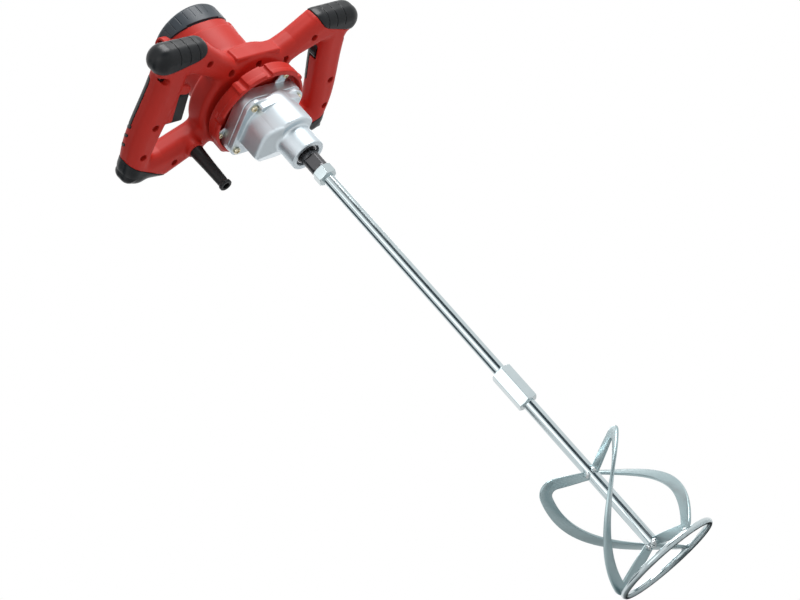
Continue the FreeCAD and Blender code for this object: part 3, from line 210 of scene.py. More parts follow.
def sampled(shape, low, high, step, crease=None):
    """Points, faces and normals of a field's surface inside a box. Points near the line where the two
    fields of a crease meet are drawn onto that line."""
    counts = np.ceil((np.array(high) - low) / step).astype(int) + 1
    axes = [low[k] + step * np.arange(counts[k]) for k in range(3)]
    field = np.empty(counts)
    batch = 24
    for k in range(0, counts[0], batch):
        grid = np.meshgrid(axes[0][k:k + batch], axes[1], axes[2], indexing="ij")
        field[k:k + batch] = shape(*grid)
    points, faces = surface_net(field, low, step)
    for _ in range(3):
        points = drawn_to(shape, points, 0.5 * step)
    normals = gradient(shape, points)
    if crease:
        outer, plane = crease
        near = 0.8 * step
        edge = (np.abs(outer(*points.T)) < near) & (np.abs(plane(*points.T)) < near)
        for _ in range(4):
            points[edge] = drawn_to(plane, drawn_to(outer, points[edge], step), step)
        normals[edge] = gradient(outer, points[edge])
    lengths = np.maximum(np.linalg.norm(normals, axis=1), 1e-6)
    return points, faces, normals / lengths[:, None]


# Meshes
def new_piece(name, points, faces, material, body, stands_for=(), normals=None):
    """A smooth mesh object from points in millimetres, riding on a body and standing for its nodes."""
    if not isinstance(faces, list):
        faces = faces.tolist()
    mesh = bpy.data.meshes.new(name)
    mesh.from_pydata((np.asarray(points) * MM).tolist(), [], faces)
    mesh.validate()
    mesh.polygons.foreach_set("use_smooth", np.ones(len(mesh.polygons), bool))
    if normals is not None and len(normals) == len(mesh.vertices):
        mesh.normals_split_custom_set_from_vertices(normals.tolist())
    mesh.update()
    piece = bpy.data.objects.new(name, mesh)
    bpy.context.scene.collection.objects.link(piece)
    piece.data.materials.append(material)
    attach(piece, body)
    if stands_for:
        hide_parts(*stands_for)
    return piece


def moulding(name, node_name, shape, box, step, material, body, crease=None):
    """A piece drawn from a field inside a box, in place of a node."""
    points, faces, normals = sampled(shape, *box, step, crease)
    new_piece(name, points, faces, material, body, (node_name,), normals)


def grid_faces(rows, columns, close_rows=False, close_columns=False):
    """Four-sided faces over a grid of points, wrapped round where a side closes on itself."""
    row = np.arange(rows if close_rows else rows - 1)
    column = np.arange(columns if close_columns else columns - 1)
    a, b = np.meshgrid(row, column, indexing="ij")
    after_b = (b + 1) % columns
    here, above = a * columns, (a + 1) % rows * columns
    corners = [here + b, here + after_b, above + after_b, above + b]
    return np.stack(corners, axis=-1).reshape(-1, 4)


def capped(points, faces, rows, columns):
    """Close the first and last ring of a tube with a fan to the ring's middle."""
    first = points[:columns].mean(axis=0)
    last = points[-columns:].mean(axis=0)
    points = np.vstack([points, first, last])
    ring = np.arange(columns)
    after = (ring + 1) % columns
    start = (rows - 1) * columns
    head = np.stack([np.full(columns, len(points) - 2), after, ring], axis=1)
    tail = np.stack([np.full(columns, len(points) - 1), start + ring, start + after], axis=1)
    return points, faces.tolist() + head.tolist() + tail.tolist()


def tube(points):
    """A closed mesh over rows of points that each run round a ring."""
    rows, columns = points.shape[:2]
    faces = grid_faces(rows, columns, close_columns=True)
    return capped(points.reshape(-1, 3), faces, rows, columns)


# Shader groups
def feed(tree, sockets, inputs):
    """Set each input socket, by name or number, to a value, or join it to another node's output."""
    for word, value in inputs.items():
        if isinstance(value, bpy.types.NodeSocket):
            tree.links.new(value, sockets[word])
        else:
            sockets[word].default_value = value


def node(tree, kind, inputs=None, **settings):
    """A shader node with its settings and inputs."""
    made = tree.nodes.new(kind)
    for word, value in settings.items():
        setattr(made, word, value)
    feed(tree, made.inputs, inputs or {})
    return made


def skin_group(name, inputs):
    """An empty group that takes some values and a colour, and gives height, roughness and colour."""
    group = bpy.data.node_groups.new(name, "ShaderNodeTree")
    for word, value in inputs.items():
        kind = "NodeSocketFloat" if isinstance(value, float) else "NodeSocketColor"
        group.interface.new_socket(word, in_out="INPUT", socket_type=kind).default_value = value
    for word, kind in (("Height", "Float"), ("Roughness", "Float"), ("Colour", "Color")):
        group.interface.new_socket(word, in_out="OUTPUT", socket_type=f"NodeSocket{kind}")
    return group, group.nodes.new("NodeGroupInput").outputs, group.nodes.new("NodeGroupOutput").inputs


def shaded(group, colour, pattern, low, high):
    """A colour made darker and lighter by a pattern, between two shares."""
    shade = node(group, "ShaderNodeMapRange", {"Value": pattern, "To Min": low, "To Max": high})
    tint = node(group, "ShaderNodeVectorMath", {0: colour, "Scale": shade.outputs["Result"]},
                operation="SCALE")
    return tint.outputs["Vector"]


def moulded_skin():
    """Fine spark-eroded grain with slow patches of shine and shade."""
    group, entry, leave = skin_group(
        "moulded_skin", {"Grain size": 0.5, "Roughness": 0.4, "Colour": (0.5, 0.5, 0.5, 1)})
    place = node(group, "ShaderNodeTexCoord").outputs["Object"]
    scale = node(group, "ShaderNodeMath", {0: 1000.0, 1: entry["Grain size"]}, operation="DIVIDE")
    grain = node(group, "ShaderNodeTexNoise",
                 {"Vector": place, "Scale": scale.outputs[0], "Detail": 3.0, "Roughness": 0.6})
    patch = node(group, "ShaderNodeTexNoise",
                 {"Vector": place, "Scale": 22.0, "Detail": 4.0, "Roughness": 0.55}).outputs["Fac"]
    spread = node(group, "ShaderNodeMapRange", {"Value": patch, "To Min": -0.07, "To Max": 0.07})
    shine = node(group, "ShaderNodeMath", {0: entry["Roughness"], 1: spread.outputs["Result"]},
                 operation="ADD")
    feed(group, leave, {"Height": grain.outputs["Fac"], "Roughness": shine.outputs[0],
                        "Colour": shaded(group, entry["Colour"], patch, 0.9, 1.1)})
    return group


def drawn_metal():
    """Streaks that run up the spindle axis over slow cloudy patches, as on plated drawn bar."""
    group, entry, leave = skin_group(
        "drawn_metal", {"Roughness": 0.25, "Streak": 0.1, "Colour": (0.7, 0.7, 0.7, 1)})
    place = node(group, "ShaderNodeTexCoord").outputs["Object"]
    stretch = node(group, "ShaderNodeMapping", {"Vector": place, "Scale": (1500.0, 1500.0, 30.0)})
    streak = node(group, "ShaderNodeTexNoise",
                  {"Vector": stretch.outputs["Vector"], "Scale": 1.0, "Detail": 2.0}).outputs["Fac"]
    cloud = node(group, "ShaderNodeTexNoise",
                 {"Vector": place, "Scale": 60.0, "Detail": 5.0, "Roughness": 0.6}).outputs["Fac"]
    middle = node(group, "ShaderNodeMath", {0: streak, 1: 0.5}, operation="SUBTRACT")
    part = node(group, "ShaderNodeMath", {0: middle.outputs[0], 1: entry["Streak"]}, operation="MULTIPLY")
    base = node(group, "ShaderNodeMath", {0: entry["Roughness"], 1: part.outputs[0]}, operation="ADD")
    haze = node(group, "ShaderNodeMapRange", {"Value": cloud, "To Min": -0.05, "To Max": 0.08})
    total = node(group, "ShaderNodeMath", {0: base.outputs[0], 1: haze.outputs["Result"]}, operation="ADD")
    feed(group, leave, {"Height": streak, "Roughness": total.outputs[0],
                        "Colour": shaded(group, entry["Colour"], cloud, 0.86, 1.08)})
    return group


MOULDED = moulded_skin()
DRAWN = drawn_metal()


# Materials
def surface_material(name, group, inputs, bump, metallic=0.0, shine=0.5):
    """A principled surface whose colour, roughness and fine relief come from a shader group."""
    material = bpy.data.materials.new(name)
    material.use_nodes = True
    tree = material.node_tree
    skin = node(tree, "ShaderNodeGroup", inputs, node_tree=group).outputs
    relief = node(tree, "ShaderNodeBump", {"Strength": bump, "Distance": 0.0002, "Height": skin["Height"]})
    feed(tree, tree.nodes["Principled BSDF"].inputs, {
        "Base Color": skin["Colour"], "Roughness": skin["Roughness"], "Normal": relief.outputs["Normal"],
        "Metallic": metallic, "Specular IOR Level": shine})
    return material


def plastic(name, colour, roughness, grain, bump, shine=0.5):
    """Moulded plastic or rubber with a fine grain."""
    inputs = {"Grain size": grain, "Roughness": roughness, "Colour": (*colour, 1)}
    return surface_material(name, MOULDED, inputs, bump, shine=shine)


def metal(name, colour, roughness, streak, bump):
    """Drawn or plated metal with streaks."""
    inputs = {"Streak": streak, "Roughness": roughness, "Colour": (*colour, 1)}
    return surface_material(name, DRAWN, inputs, bump, metallic=1.0)


def cast(name, colour, roughness, grain, bump):
    """Metal with a grain instead of streaks."""
    inputs = {"Grain size": grain, "Roughness": roughness, "Colour": (*colour, 1)}
    return surface_material(name, MOULDED, inputs, bump, metallic=1.0)


RED = plastic("red_housing", (0.53, 0.021, 0.012), 0.52, 0.45, 0.10, 0.33)
BLACK = plastic("black_moulding", (0.007, 0.009, 0.011), 0.36, 0.45, 0.10, 0.28)
SLATE = plastic("slate_grey_moulding", (0.040, 0.052, 0.064), 0.40, 0.45, 0.10, 0.3)
RUBBER = plastic("soft_rubber", (0.009, 0.009, 0.010), 0.45, 0.35, 0.15, 0.3)
ALUMINIUM = cast("cast_aluminium", (0.62, 0.69, 0.73), 0.42, 0.6, 0.22)
ZINC = metal("zinc_plated_steel", (0.56, 0.64, 0.66), 0.11, 0.06, 0.02)
STRIP = cast("zinc_plated_strip", (0.36, 0.46, 0.48), 0.30, 2.0, 0.02)
WELD = cast("weld_bead", (0.62, 0.66, 0.67), 0.24, 0.9, 0.3)
# The spindle's own dark steel, also used as painted shade on the deep housing screws and on the ring in the nose's
# mouth.
DARK_STEEL_AND_PAINTED_SHADE = metal("black_oxide_steel_and_painted_shade", (0.11, 0.11, 0.115), 0.28, 0.1, 0.05)
BEARING = metal("bearing_steel", (0.55, 0.55, 0.57), 0.22, 0.1, 0.05)
GEAR = metal("gear_steel", (0.36, 0.36, 0.38), 0.3, 0.1, 0.05)
GOLD_SCREW = metal("yellow_screw_steel", (0.80, 0.72, 0.52), 0.22, 0.1, 0.05)
BEIGE = plastic("pale_ring", (0.66, 0.58, 0.42), 0.45, 0.4, 0.1)
COPPER = metal("enamelled_copper", (0.72, 0.33, 0.16), 0.35, 0.2, 0.1)
BRASS = metal("pressed_brass", (0.75, 0.56, 0.26), 0.3, 0.1, 0.05)
LAMINATION = metal("motor_laminations", (0.30, 0.30, 0.32), 0.42, 0.2, 0.1)
CARBON = plastic("carbon_brush", (0.03, 0.03, 0.03), 0.6, 0.3, 0.1)
FAN = plastic("fan_plastic", (0.06, 0.06, 0.06), 0.5, 0.4, 0.1)

SLOT_MATERIALS = {
    "red_plastic": RED, "black_plastic": BLACK, "soft_grip": RUBBER, "cast_aluminium": ALUMINIUM,
    "zinc_steel": ZINC, "dark_steel": DARK_STEEL_AND_PAINTED_SHADE, "bearing_steel": BEARING, "gear_steel": GEAR,
    "seal": BEIGE, "screw_steel": GOLD_SCREW, "lamination": LAMINATION, "copper": COPPER, "brass": BRASS,
    "carbon": CARBON, "fan_plastic": FAN,
}


def dress_nodes():
    """Give every node the material of its slot, and the deep-set housing screws the dark steel, painted dark as
    the shade in their holes.
    """
    for entry in frame["record"]["subparts"]:
        shown = nodes[entry["node"]]
        shown.data.materials.clear()
        shown.data.materials.append(SLOT_MATERIALS[entry["material_slot"]])
    # Painted shade: the housing screws get the dark steel so that their deep holes read dark.
    nodes["handle_screws"].data.materials[0] = DARK_STEEL_AND_PAINTED_SHADE


dress_nodes()


# Handle loops and the zones of their caps and pads
GRIP_KNOTS = (-57.0, -20.0, 25.0, 92.0)
GRIP_MIDDLE = np.polyfit(GRIP_KNOTS, (120.5, 123.5, 132.6, 134.8), 3)
GRIP_HALF = np.polyfit(GRIP_KNOTS, (19.5, 19.0, 18.0, 12.5), 3)
FRONT_ARM = ((20, -20, 16), (60, -43, 15), (92, -61, 20), (134, -64.6, 17))
REAR_ARM = ((56, 64, 17), (100, 85.6, 19), (138, 87, 13))
REAR_TIP = ((134, 86, 12), (146, 95, 6))


def outward(x, v):
    """How far a point stands out from the middle line of its grip."""
    return np.abs(x) - np.polyval(GRIP_MIDDLE, np.clip(v, GRIP_KNOTS[0], GRIP_KNOTS[-1]))


def loop_plan(x, v):
    """Outline of both loops: a bent front arm, a waisted grip and a rear arm on each side, melted."""
    x = np.abs(x)
    along = np.clip(v, GRIP_KNOTS[0], GRIP_KNOTS[-1])
    grip = np.hypot(x - np.polyval(GRIP_MIDDLE, along), v - along) - np.polyval(GRIP_HALF, along)
    rear = np.minimum(arm(x, v, REAR_ARM), arm(x, v, REAR_TIP))
    return melt(melt(arm(x, v, FRONT_ARM), grip, 6), rear, 10)


def loops(x, y, z):
    """Both loops: their plan carried through the handle's thickness, with rounded rims."""
    v, w = to_handle(y, z)
    return slab(loop_plan(x, v), w, HANDLE_HALF, HANDLE_ROUNDING)


HORN_V = -62.0
HORN_X = 112.0
HORN_SLOPE = 0.236
HORN_SCALE = 0.973
HORN_INNER_X = 80.0
HORN_CORNER = 24.0


def horn_plan(x, v):
    """Front corner of a loop, ahead of a line that runs back towards the outer end."""
    line = (v - HORN_V - HORN_SLOPE * (np.abs(x) - HORN_X)) * HORN_SCALE
    return clip(line, HORN_INNER_X - np.abs(x), HORN_CORNER)


FOOT_V = 77.7
FOOT_X = 143.0
FOOT_SLOPE = 0.47
FOOT_SCALE = 0.905


def foot_plan(x, v):
    """Wedge along the back corner of a loop, widest at the outer end."""
    return (FOOT_V + FOOT_SLOPE * (FOOT_X - np.abs(x)) - v) * FOOT_SCALE


PAD_V = -3.0
PAD_HALF = 34.0
PAD_LEVEL = 5.5
PAD_INNER = -24.0
DASHES = (31.0, 43.0, 56.0)
DASH_LEVEL = 9.0
DASH_HALF = 1.7
DASH_REACH = 5.0
DASH_SLANT = 0.6
DASH_OUT = 6.0


def pad_zone(x, v, w):
    """Pointed patch over the upper and outer side of a grip, and three slanted dashes behind it."""
    out = outward(x, v)
    patch = clip(PAD_LEVEL - w, np.abs(v - PAD_V) + 0.35 * np.abs(w - 6) - PAD_HALF, 5)
    patch = np.maximum(patch, PAD_INNER - out)
    lift = w - DASH_LEVEL
    dashes = np.full(np.shape(x), FAR)
    for spot in DASHES:
        dashes = np.minimum(dashes, np.abs(v - spot - DASH_SLANT * lift) - DASH_HALF)
    dashes = np.maximum(np.maximum(dashes, np.abs(lift) - DASH_REACH), DASH_OUT - out)
    return np.minimum(patch, dashes)


SCREW_SPOTS = ((135, -44), (133.5, 19), (139.5, 60), (78.5, -56.5), (41, -34.7), (89.2, 82), (0, -37))
HOLE_RADIUS = 4.2
HOLE_DEPTH = 12.0


def screw_holes(x, v, w):
    """Round counterbores from the underside, where the housing screws stand."""
    found = np.full(np.shape(x), FAR)
    for across, along in SCREW_SPOTS:
        found = np.minimum(found, np.hypot(np.abs(x) - across, v - along) - HOLE_RADIUS)
    return np.maximum(found, w + HANDLE_HALF - HOLE_DEPTH)


# Red housing
COLLAR_RADIUS = 60.5
COLLAR_FRONT_RISE = 2.6
COLLAR_FRONT_HALF_TURN = 50
COLLAR_WALL = 3.2
LOBE_X = 29
LOBE_Y = 60
GROOVE_TURN = -99.5
NOTCH_TURN = -176.5


def collar(x, y, z):
    """Wall of the housing round the gear plate: prouder at the front, with a thicker lower rim, a groove
    below the middle screw, a notch at the left and a lobe at each rear side."""
    turn = np.degrees(np.arctan2(y - MOTOR_Y, x))
    reach = np.hypot(x, y - MOTOR_Y)
    ahead = np.clip((COLLAR_FRONT_HALF_TURN - np.abs(turn + 90)) / 2.5, 0, 1)
    radius = COLLAR_RADIUS + COLLAR_FRONT_RISE * ahead * ahead * (3 - 2 * ahead)
    wall = slab(reach - radius, z - PLATE_Z - 5, 9, 2.2)
    rim = slab(reach - radius - 0.6, z - PLATE_Z + 1, 3, 1.2)
    ring = melt(wall, rim, 1.0)
    for side in (-1, 1):
        lobe = drum(x, y, z, (side * LOBE_X, LOBE_Y), 9, PLATE_Z - 1, PLATE_Z + 18, 2)
        ring = melt(ring, lobe, 4)
    ring = carve(ring, np.maximum(reach - COLLAR_RADIUS + COLLAR_WALL, z - PLATE_Z - 7), 1.0)
    groove = np.maximum(np.abs(turn - GROOVE_TURN) * 1.08 - 3.6, COLLAR_RADIUS - 0.6 - reach)
    ring = carve(ring, groove, 0.8)
    away = (turn - NOTCH_TURN + 180) % 360 - 180
    notch = np.maximum(np.maximum(np.abs(away) - 5, COLLAR_RADIUS - 5 - reach), z - PLATE_Z - 8)
    return carve(ring, notch, 0.8)


BARREL_RADIUS = CAP_RADIUS - 0.4
BARREL_STEP = 12.0
DISC_V = 16
DISC_RADIUS = 65
FRONT_PLATE = ((0, -43, -2), (33, 6, 10))
BRACKET = ((-116, -8, -4.5), (8, 28, 9.5))
BROW = ((-120, -30, 8), (-99, -23, 6))
BOOT_BOSS = (-67.5, 63)
BOOT_BOSS_RADIUS = 11
HOOD_RADIUS = 11.0
HOOD_RECESS_RADIUS = 7.9
HOOD_RISE = 12.0


def cap_rim(x):
    """Height of the line between barrel and cap, which rises towards the brushes."""
    return CAP_Z + 0.0055 * np.minimum(np.abs(x), CAP_RADIUS) ** 2


def hood_plan(y, z, radius):
    """Upright slot shape round a brush cap, seen from the side."""
    return bar(y, z, (MOTOR_Y, BRUSH_Z, radius), (MOTOR_Y - 1, BRUSH_Z + HOOD_RISE, radius))


def housing(x, y, z):
    """The red housing as one mass, before it is split into halves and its caps are let in."""
    v, w = to_handle(y, z)
    disc = slab(np.hypot(x, v - DISC_V) - DISC_RADIUS, w, 15, 7)
    plan = np.hypot(x, y - BARREL_Y) - BARREL_RADIUS
    level = z - cap_rim(x)
    barrel = melt(clip(plan + 1.2, level, 0.8), clip(plan, level + BARREL_STEP, 1.6), 0.8)
    barrel = np.maximum(barrel, PLATE_Z + 20 - z)
    mass = melt(melt(loops(x, y, z), disc, 9), barrel, 14)
    mass = melt(mass, collar(x, y, z), 2)
    mass = melt(mass, block(x, v, w, *FRONT_PLATE, 2.5), 1.5)
    bracket = block(x, v, w, *BRACKET, 3)
    brow = slab(bar(x, v, *BROW), w - BRACKET[0][2], BRACKET[1][2], 3)
    mass = melt(mass, np.minimum(bracket, brow), 2)
    boss = drum(x, y, z, BOOT_BOSS, BOOT_BOSS_RADIUS, HANDLE_Z - 29, HANDLE_Z - 10, 2.5)
    mass = melt(mass, boss, 4)
    hood = slab(hood_plan(y, z, HOOD_RADIUS), x, CAP_RADIUS + 6, 1.5)
    return melt(mass, hood, 2.5)


KEY_MIDDLE = (-102.8, 6, -0.5)
KEY_HALF = (14.2, 20, 8.8)
KEY_TRAVEL = 6.5
KEY_GROOVE_X = -89.2
DIAL_X = 115.5
DIAL_V = -22.0
DIAL_ROOM = 14.4
DIAL_HALF = 5.2
LOCK_X = -134
LOCK_V = 43
LOCK_ROOM = 5.4
LOCK_FLOOR = 10


def trigger_room(x, v, w, gap):
    """The trigger key grown by a gap, and drawn out on the side that it slides to."""
    travel = KEY_TRAVEL if gap else 0
    middle = (KEY_MIDDLE[0] - travel / 2, KEY_MIDDLE[1], KEY_MIDDLE[2])
    half = (KEY_HALF[0] + travel / 2 + gap, KEY_HALF[1] + gap, KEY_HALF[2] + gap)
    return block(x, v, w, middle, half, 3)


def red_shell(x, y, z):
    """The housing with its screw holes and the recesses for caps, pads, key, wheel and brush caps."""
    v, w = to_handle(y, z)
    shell = carve(housing(x, y, z), screw_holes(x, v, w), 0.8)
    near = loops(x, y, z) - 3
    for zone in (horn_plan(x, v), foot_plan(x, v)):
        shell = np.maximum(shell, -np.maximum(zone - ZONE_GAP, near))
    inlay = np.maximum(pad_zone(x, v, w) - ZONE_GAP, -near - 6)
    shell = np.maximum(shell, -inlay)
    shell = carve(shell, trigger_room(x, v, w, 0.6), 0.6)
    wheel = np.maximum(np.hypot(x - DIAL_X, v - DIAL_V) - DIAL_ROOM, np.abs(w) - DIAL_HALF)
    shell = carve(shell, wheel, 0.6)
    button = np.maximum(np.hypot(x - LOCK_X, v - LOCK_V) - LOCK_ROOM, LOCK_FLOOR - w)
    shell = carve(shell, button, 0.5)
    recess = np.maximum(hood_plan(y, z, HOOD_RECESS_RADIUS), CAP_RADIUS - 6 - np.abs(x))
    return carve(shell, recess, 0.8)


SHELL_STEP = 1.25
CAP_STEP = 0.8
KEY_STEP = 0.5
REAR_CAP_STEP = 0.6
CASE_STEP = 0.9
SCREW_STEP = 0.3


def make_shells():
    """Lower and upper half of the red housing, parted at the middle plane of the handles."""
    for name, side in (("handle_lower_shell", 1), ("handle_upper_shell", -1)):
        def parting(x, y, z, side=side):
            """Distance past the parting plane, less half the gap between the halves."""
            return side * to_handle(y, z)[1] + SHELL_GAP

        def half_shell(x, y, z, parting=parting):
            """The part of the housing on one side of the parting plane."""
            return np.maximum(red_shell(x, y, z), parting(x, y, z))

        low, high = node_box(name)
        high[2] = max(high[2], CAP_TOP_Z) if side < 0 else high[2]
        moulding(f"{name}_moulding", name, half_shell, (low - 6, high + 6), SHELL_STEP, RED, "housing",
                 (red_shell, parting))


# Caps and pads of the handles
HORN_GROOVES = (97.0, 110.0, 123.5)
HORN_RISE = 0.5
FOOT_RISE = 0.35
PAD_RISE = 0.3
CAPS_FROM_X = 60.0


def horn(x, y, z):
    """Cap over the front corner of a loop with three grooves round its front and a stop under each."""
    v, w = to_handle(y, z)
    skin = loops(x, y, z)
    body = clip(skin - HORN_RISE, horn_plan(x, v), 1.0)
    groove = np.full(np.shape(x), FAR)
    stop = np.hypot(v + 75.5, w + 13.8) - 0.9
    for spot in HORN_GROOVES:
        away = np.abs(np.abs(x) - spot)
        groove = np.minimum(groove, away - 0.5)
        body = np.minimum(body, np.maximum(stop, away - 2.8))
    groove = np.maximum(np.maximum(groove, v + 67), -skin - 0.2)
    return carve(body, groove, 0.5)


def foot(x, y, z):
    """Cap over the back corner of a loop."""
    v = to_handle(y, z)[0]
    return clip(loops(x, y, z) - FOOT_RISE, foot_plan(x, v), 1.0)


def pad(x, y, z):
    """Soft inlay that stands a little proud of the grip."""
    v, w = to_handle(y, z)
    skin = loops(x, y, z)
    return clip(clip(skin - PAD_RISE, pad_zone(x, v, w), 0.6), -skin - 3.0, 0.3)


def make_handle_caps():
    """Horns, feet and inlays of both handles, each drawn inside its own node's surroundings."""
    pieces = (("horn", "cap", horn, BLACK, "black_plastic"),
              ("foot", "cap", foot, BLACK, "black_plastic"),
              ("grip_pad", "inlay", pad, RUBBER, "soft_grip"))
    for word, kind, shape, material, slot in pieces:
        for hand in ("right", "left"):
            name = f"{word}_{hand}"
            low, high = node_box(name)
            low, high = low - (14, 14, 16), high + (14, 30, 6)
            if hand == "right":
                low[0] = max(low[0], CAPS_FROM_X)
            else:
                high[0] = min(high[0], -CAPS_FROM_X)
            moulding(f"{name}_{kind}", name, shape, (low, high), CAP_STEP, material, "housing")


# Trigger and rear cap
def trigger_key(x, y, z):
    """Finger key with rounded edges and grooves across its face."""
    v, w = to_handle(y, z)
    key = trigger_room(x, v, w, 0)
    groove = np.maximum(np.abs((w + 1.5) % 3.0 - 1.5) - 0.45, KEY_GROOVE_X - x)
    return carve(key, np.maximum(groove, np.abs(v - KEY_MIDDLE[1]) - KEY_HALF[1] + 3), 0.4)


CAP_GROOVES = 30
CAP_SLOT_TURN = -1.745
CAP_SLOT_HALF = 22.5
CAP_WELL = 17


def rear_cap(x, y, z):
    """Motor cap with a rounded top, fine upright grooves, four screw wells and a slot over its front rim."""
    reach = np.hypot(x, y - BARREL_Y)
    turn = np.arctan2(y - BARREL_Y, x)
    plan = reach - CAP_RADIUS + 0.3
    cap = slab(plan, z - (CAP_Z + 0.2 + CAP_TOP_Z) / 2, (CAP_TOP_Z - CAP_Z - 0.2) / 2, 6)
    cap = np.minimum(cap, slab(plan, z - CAP_Z - 8, 7.8, 0.6))
    cap = clip(cap, cap_rim(x) + 0.25 - z, 0.4)
    pitch = 2 * math.pi / CAP_GROOVES
    line = np.abs((turn + pitch / 2) % pitch - pitch / 2) * CAP_RADIUS - 0.35
    groove = np.maximum(np.maximum(line, CAP_RADIUS - 0.75 - reach), np.abs(z - CAP_Z - 19) - 8)
    cap = carve(cap, groove, 0.4)
    slot = np.abs(turn - CAP_SLOT_TURN) * CAP_RADIUS - CAP_SLOT_HALF
    slot = np.maximum(np.maximum(slot, CAP_RADIUS - 3 - reach), z - cap_rim(x) - 1.9)
    cap = carve(cap, slot, 0.4)
    well = np.hypot(np.abs(x) - CAP_WELL, np.abs(y - BARREL_Y) - CAP_WELL) - 4.0
    return carve(cap, np.maximum(well, CAP_TOP_Z - 3.5 - z), 0.6)


def make_trigger_and_cap():
    """The trigger key, on its own sliding body, and the motor cap."""
    low, high = node_box("trigger")
    moulding("trigger_key_moulding", "trigger", trigger_key, (low - 3, high + 3), KEY_STEP, BLACK,
             "trigger_key")
    low, high = node_box("rear_cap")
    moulding("rear_cap_moulding", "rear_cap", rear_cap, (low - 2, high + 2), REAR_CAP_STEP, SLATE,
             "housing")


make_shells()
make_handle_caps()
make_trigger_and_cap()


# Gear case
CASE_Y = 15
CASE_CORNER = 15
FLANGE_HALF = 42.4
PLATE_HALF = 42.8
PLATE_DEPTH = 6
NOSE_RADIUS = 21.5
NOSE_MOUTH = 15.5
BODY_RADIUS = 31
SHOULDER_Z = NOSE_Z + 29
GUSSET = ((26, -22, 3.5), (10, -26, 3))


def square(x, y, half):
    """Plan of a square with round corners about the middle of the case screws."""
    dx = np.abs(x) - half + CASE_CORNER
    dy = np.abs(y - CASE_Y) - half + CASE_CORNER
    outside = np.hypot(np.maximum(dx, 0), np.maximum(dy, 0))
    return outside + np.minimum(np.maximum(dx, dy), 0) - CASE_CORNER


def gear_case(x, y, z):
    """Nose, faceted body with a sloping floor over the second shaft, flange and gussets by the ears."""
    across = np.abs(x)
    nose = drum(x, y, z, (0, 0), NOSE_RADIUS, NOSE_Z, FLANGE_Z, 1.2)
    facets = np.maximum(np.maximum(across - 35, y - 55), (across + y - 67.5) * 0.707)
    facets = clip(facets, clip(0.866 * across - 0.5 * y - BODY_RADIUS, -15.5 - y, 3), 5)
    plan = np.minimum(np.hypot(x, y) - BODY_RADIUS, facets)
    slope = np.maximum(0.8 * np.maximum(across - 21, 0), 0.55 * np.maximum(y - 16, 0))
    floor = SHOULDER_Z + slope - z
    body = clip(clip(plan, floor * 0.75, 3), z - FLANGE_Z, 0.5)
    case = melt(body, nose, 3)
    case = melt(case, slab(square(x, y, FLANGE_HALF), z - FLANGE_Z + 3, 3, 0.6), 2)
    case = melt(case, slab(bar(across, y, *GUSSET), z - FLANGE_Z + 9, 6, 1.0), 1.5)
    mouth = np.maximum(np.hypot(x, y) - NOSE_MOUTH, z - NOSE_Z - 4.2)
    return carve(case, mouth, 0.8)


LUG_TURNS = (28, 152, 293)
LUG_CIRCLE = 54.0
LUG_Z = PLATE_Z + 0.5


def lug_spots():
    """Places of the lugs' screws round the motor axis."""
    turns = np.radians(LUG_TURNS)
    return np.stack([LUG_CIRCLE * np.cos(turns), MOTOR_Y + LUG_CIRCLE * np.sin(turns)], axis=1)


def bell(x, y, z):
    """Square plate behind the case and the lugs that screw to the housing."""
    middle = (FLANGE_Z + PLATE_Z + PLATE_DEPTH) / 2
    plate = slab(square(x, y, PLATE_HALF), z - middle, (PLATE_Z + PLATE_DEPTH - FLANGE_Z) / 2, 0.6)
    for spot in lug_spots():
        root = (0.6 * spot[0], 0.6 * spot[1] + 6, 8)
        plate = melt(plate, slab(bar(x, y, (*spot, 5.5), root), z - LUG_Z - 3, 3, 0.8), 1)
    return plate


def make_case():
    """Gear case and the plate behind it."""
    for name, shape in (("gear_case", gear_case), ("bearing_plate", bell)):
        low, high = node_box(name)
        moulding(f"{name}_casting", name, shape, (low - 3, high + 3), CASE_STEP, ALUMINIUM, "housing")


EAR_REACH = 33
HEAD_RADIUS = 4.3
HEAD_DEPTH = 3.4
PLATE_HEAD_RADIUS = 3.4


def pan_head(x, y, z):
    """Screw head whose rounded side with a cross recess looks down."""
    head = drum(x, y, z, (0, 0), HEAD_RADIUS, -HEAD_DEPTH, 0.4, 1.7)
    cross = np.minimum(block(x, y, z, (0, 0, -HEAD_DEPTH), (2.6, 0.7, 1.9), 0.3),
                       block(x, y, z, (0, 0, -HEAD_DEPTH), (0.7, 2.6, 1.9), 0.3))
    return carve(head, cross, 0.3)


def make_screws():
    """Copies of one screw head at the ears of the case and at the lugs of the plate."""
    low, high = np.array((-5.0, -5.0, -4.2)), np.array((5.0, 5.0, 1.2))
    points, faces, normals = sampled(pan_head, low, high, SCREW_STEP)
    reaches = (-EAR_REACH, EAR_REACH)
    ears = np.array([(across, CASE_Y + along) for across in reaches for along in reaches])
    for name, spots, level, size in (("gear_case_screws", ears, FLANGE_Z - 6, 1.0),
                                     ("plate_screws", lug_spots(), LUG_Z, PLATE_HEAD_RADIUS / HEAD_RADIUS)):
        copies = np.concatenate([points * size + (*spot, level) for spot in spots])
        rings = np.concatenate([faces + number * len(points) for number in range(len(spots))])
        new_piece(f"{name}_heads", copies, rings, GOLD_SCREW, "housing", (name,),
                  np.tile(normals, (len(spots), 1)))


make_case()
make_screws()


# Turned pieces
def resampled(corners, step):
    """A line through corner points with points close to each corner and evenly spread between them."""
    corners = np.array(corners, float)
    runs = []
    for start, end in zip(corners[:-1], corners[1:]):
        length = np.linalg.norm(end - start)
        count = max(int(length / step), 1)
        edge = min(0.15 / length, 0.3)
        share = np.concatenate([[0, edge], np.linspace(0, 1, count + 1)[1:-1], [1 - edge]])
        runs.append(start + np.unique(share)[:, None] * (end - start))
    return np.concatenate(runs + [corners[-1:]])


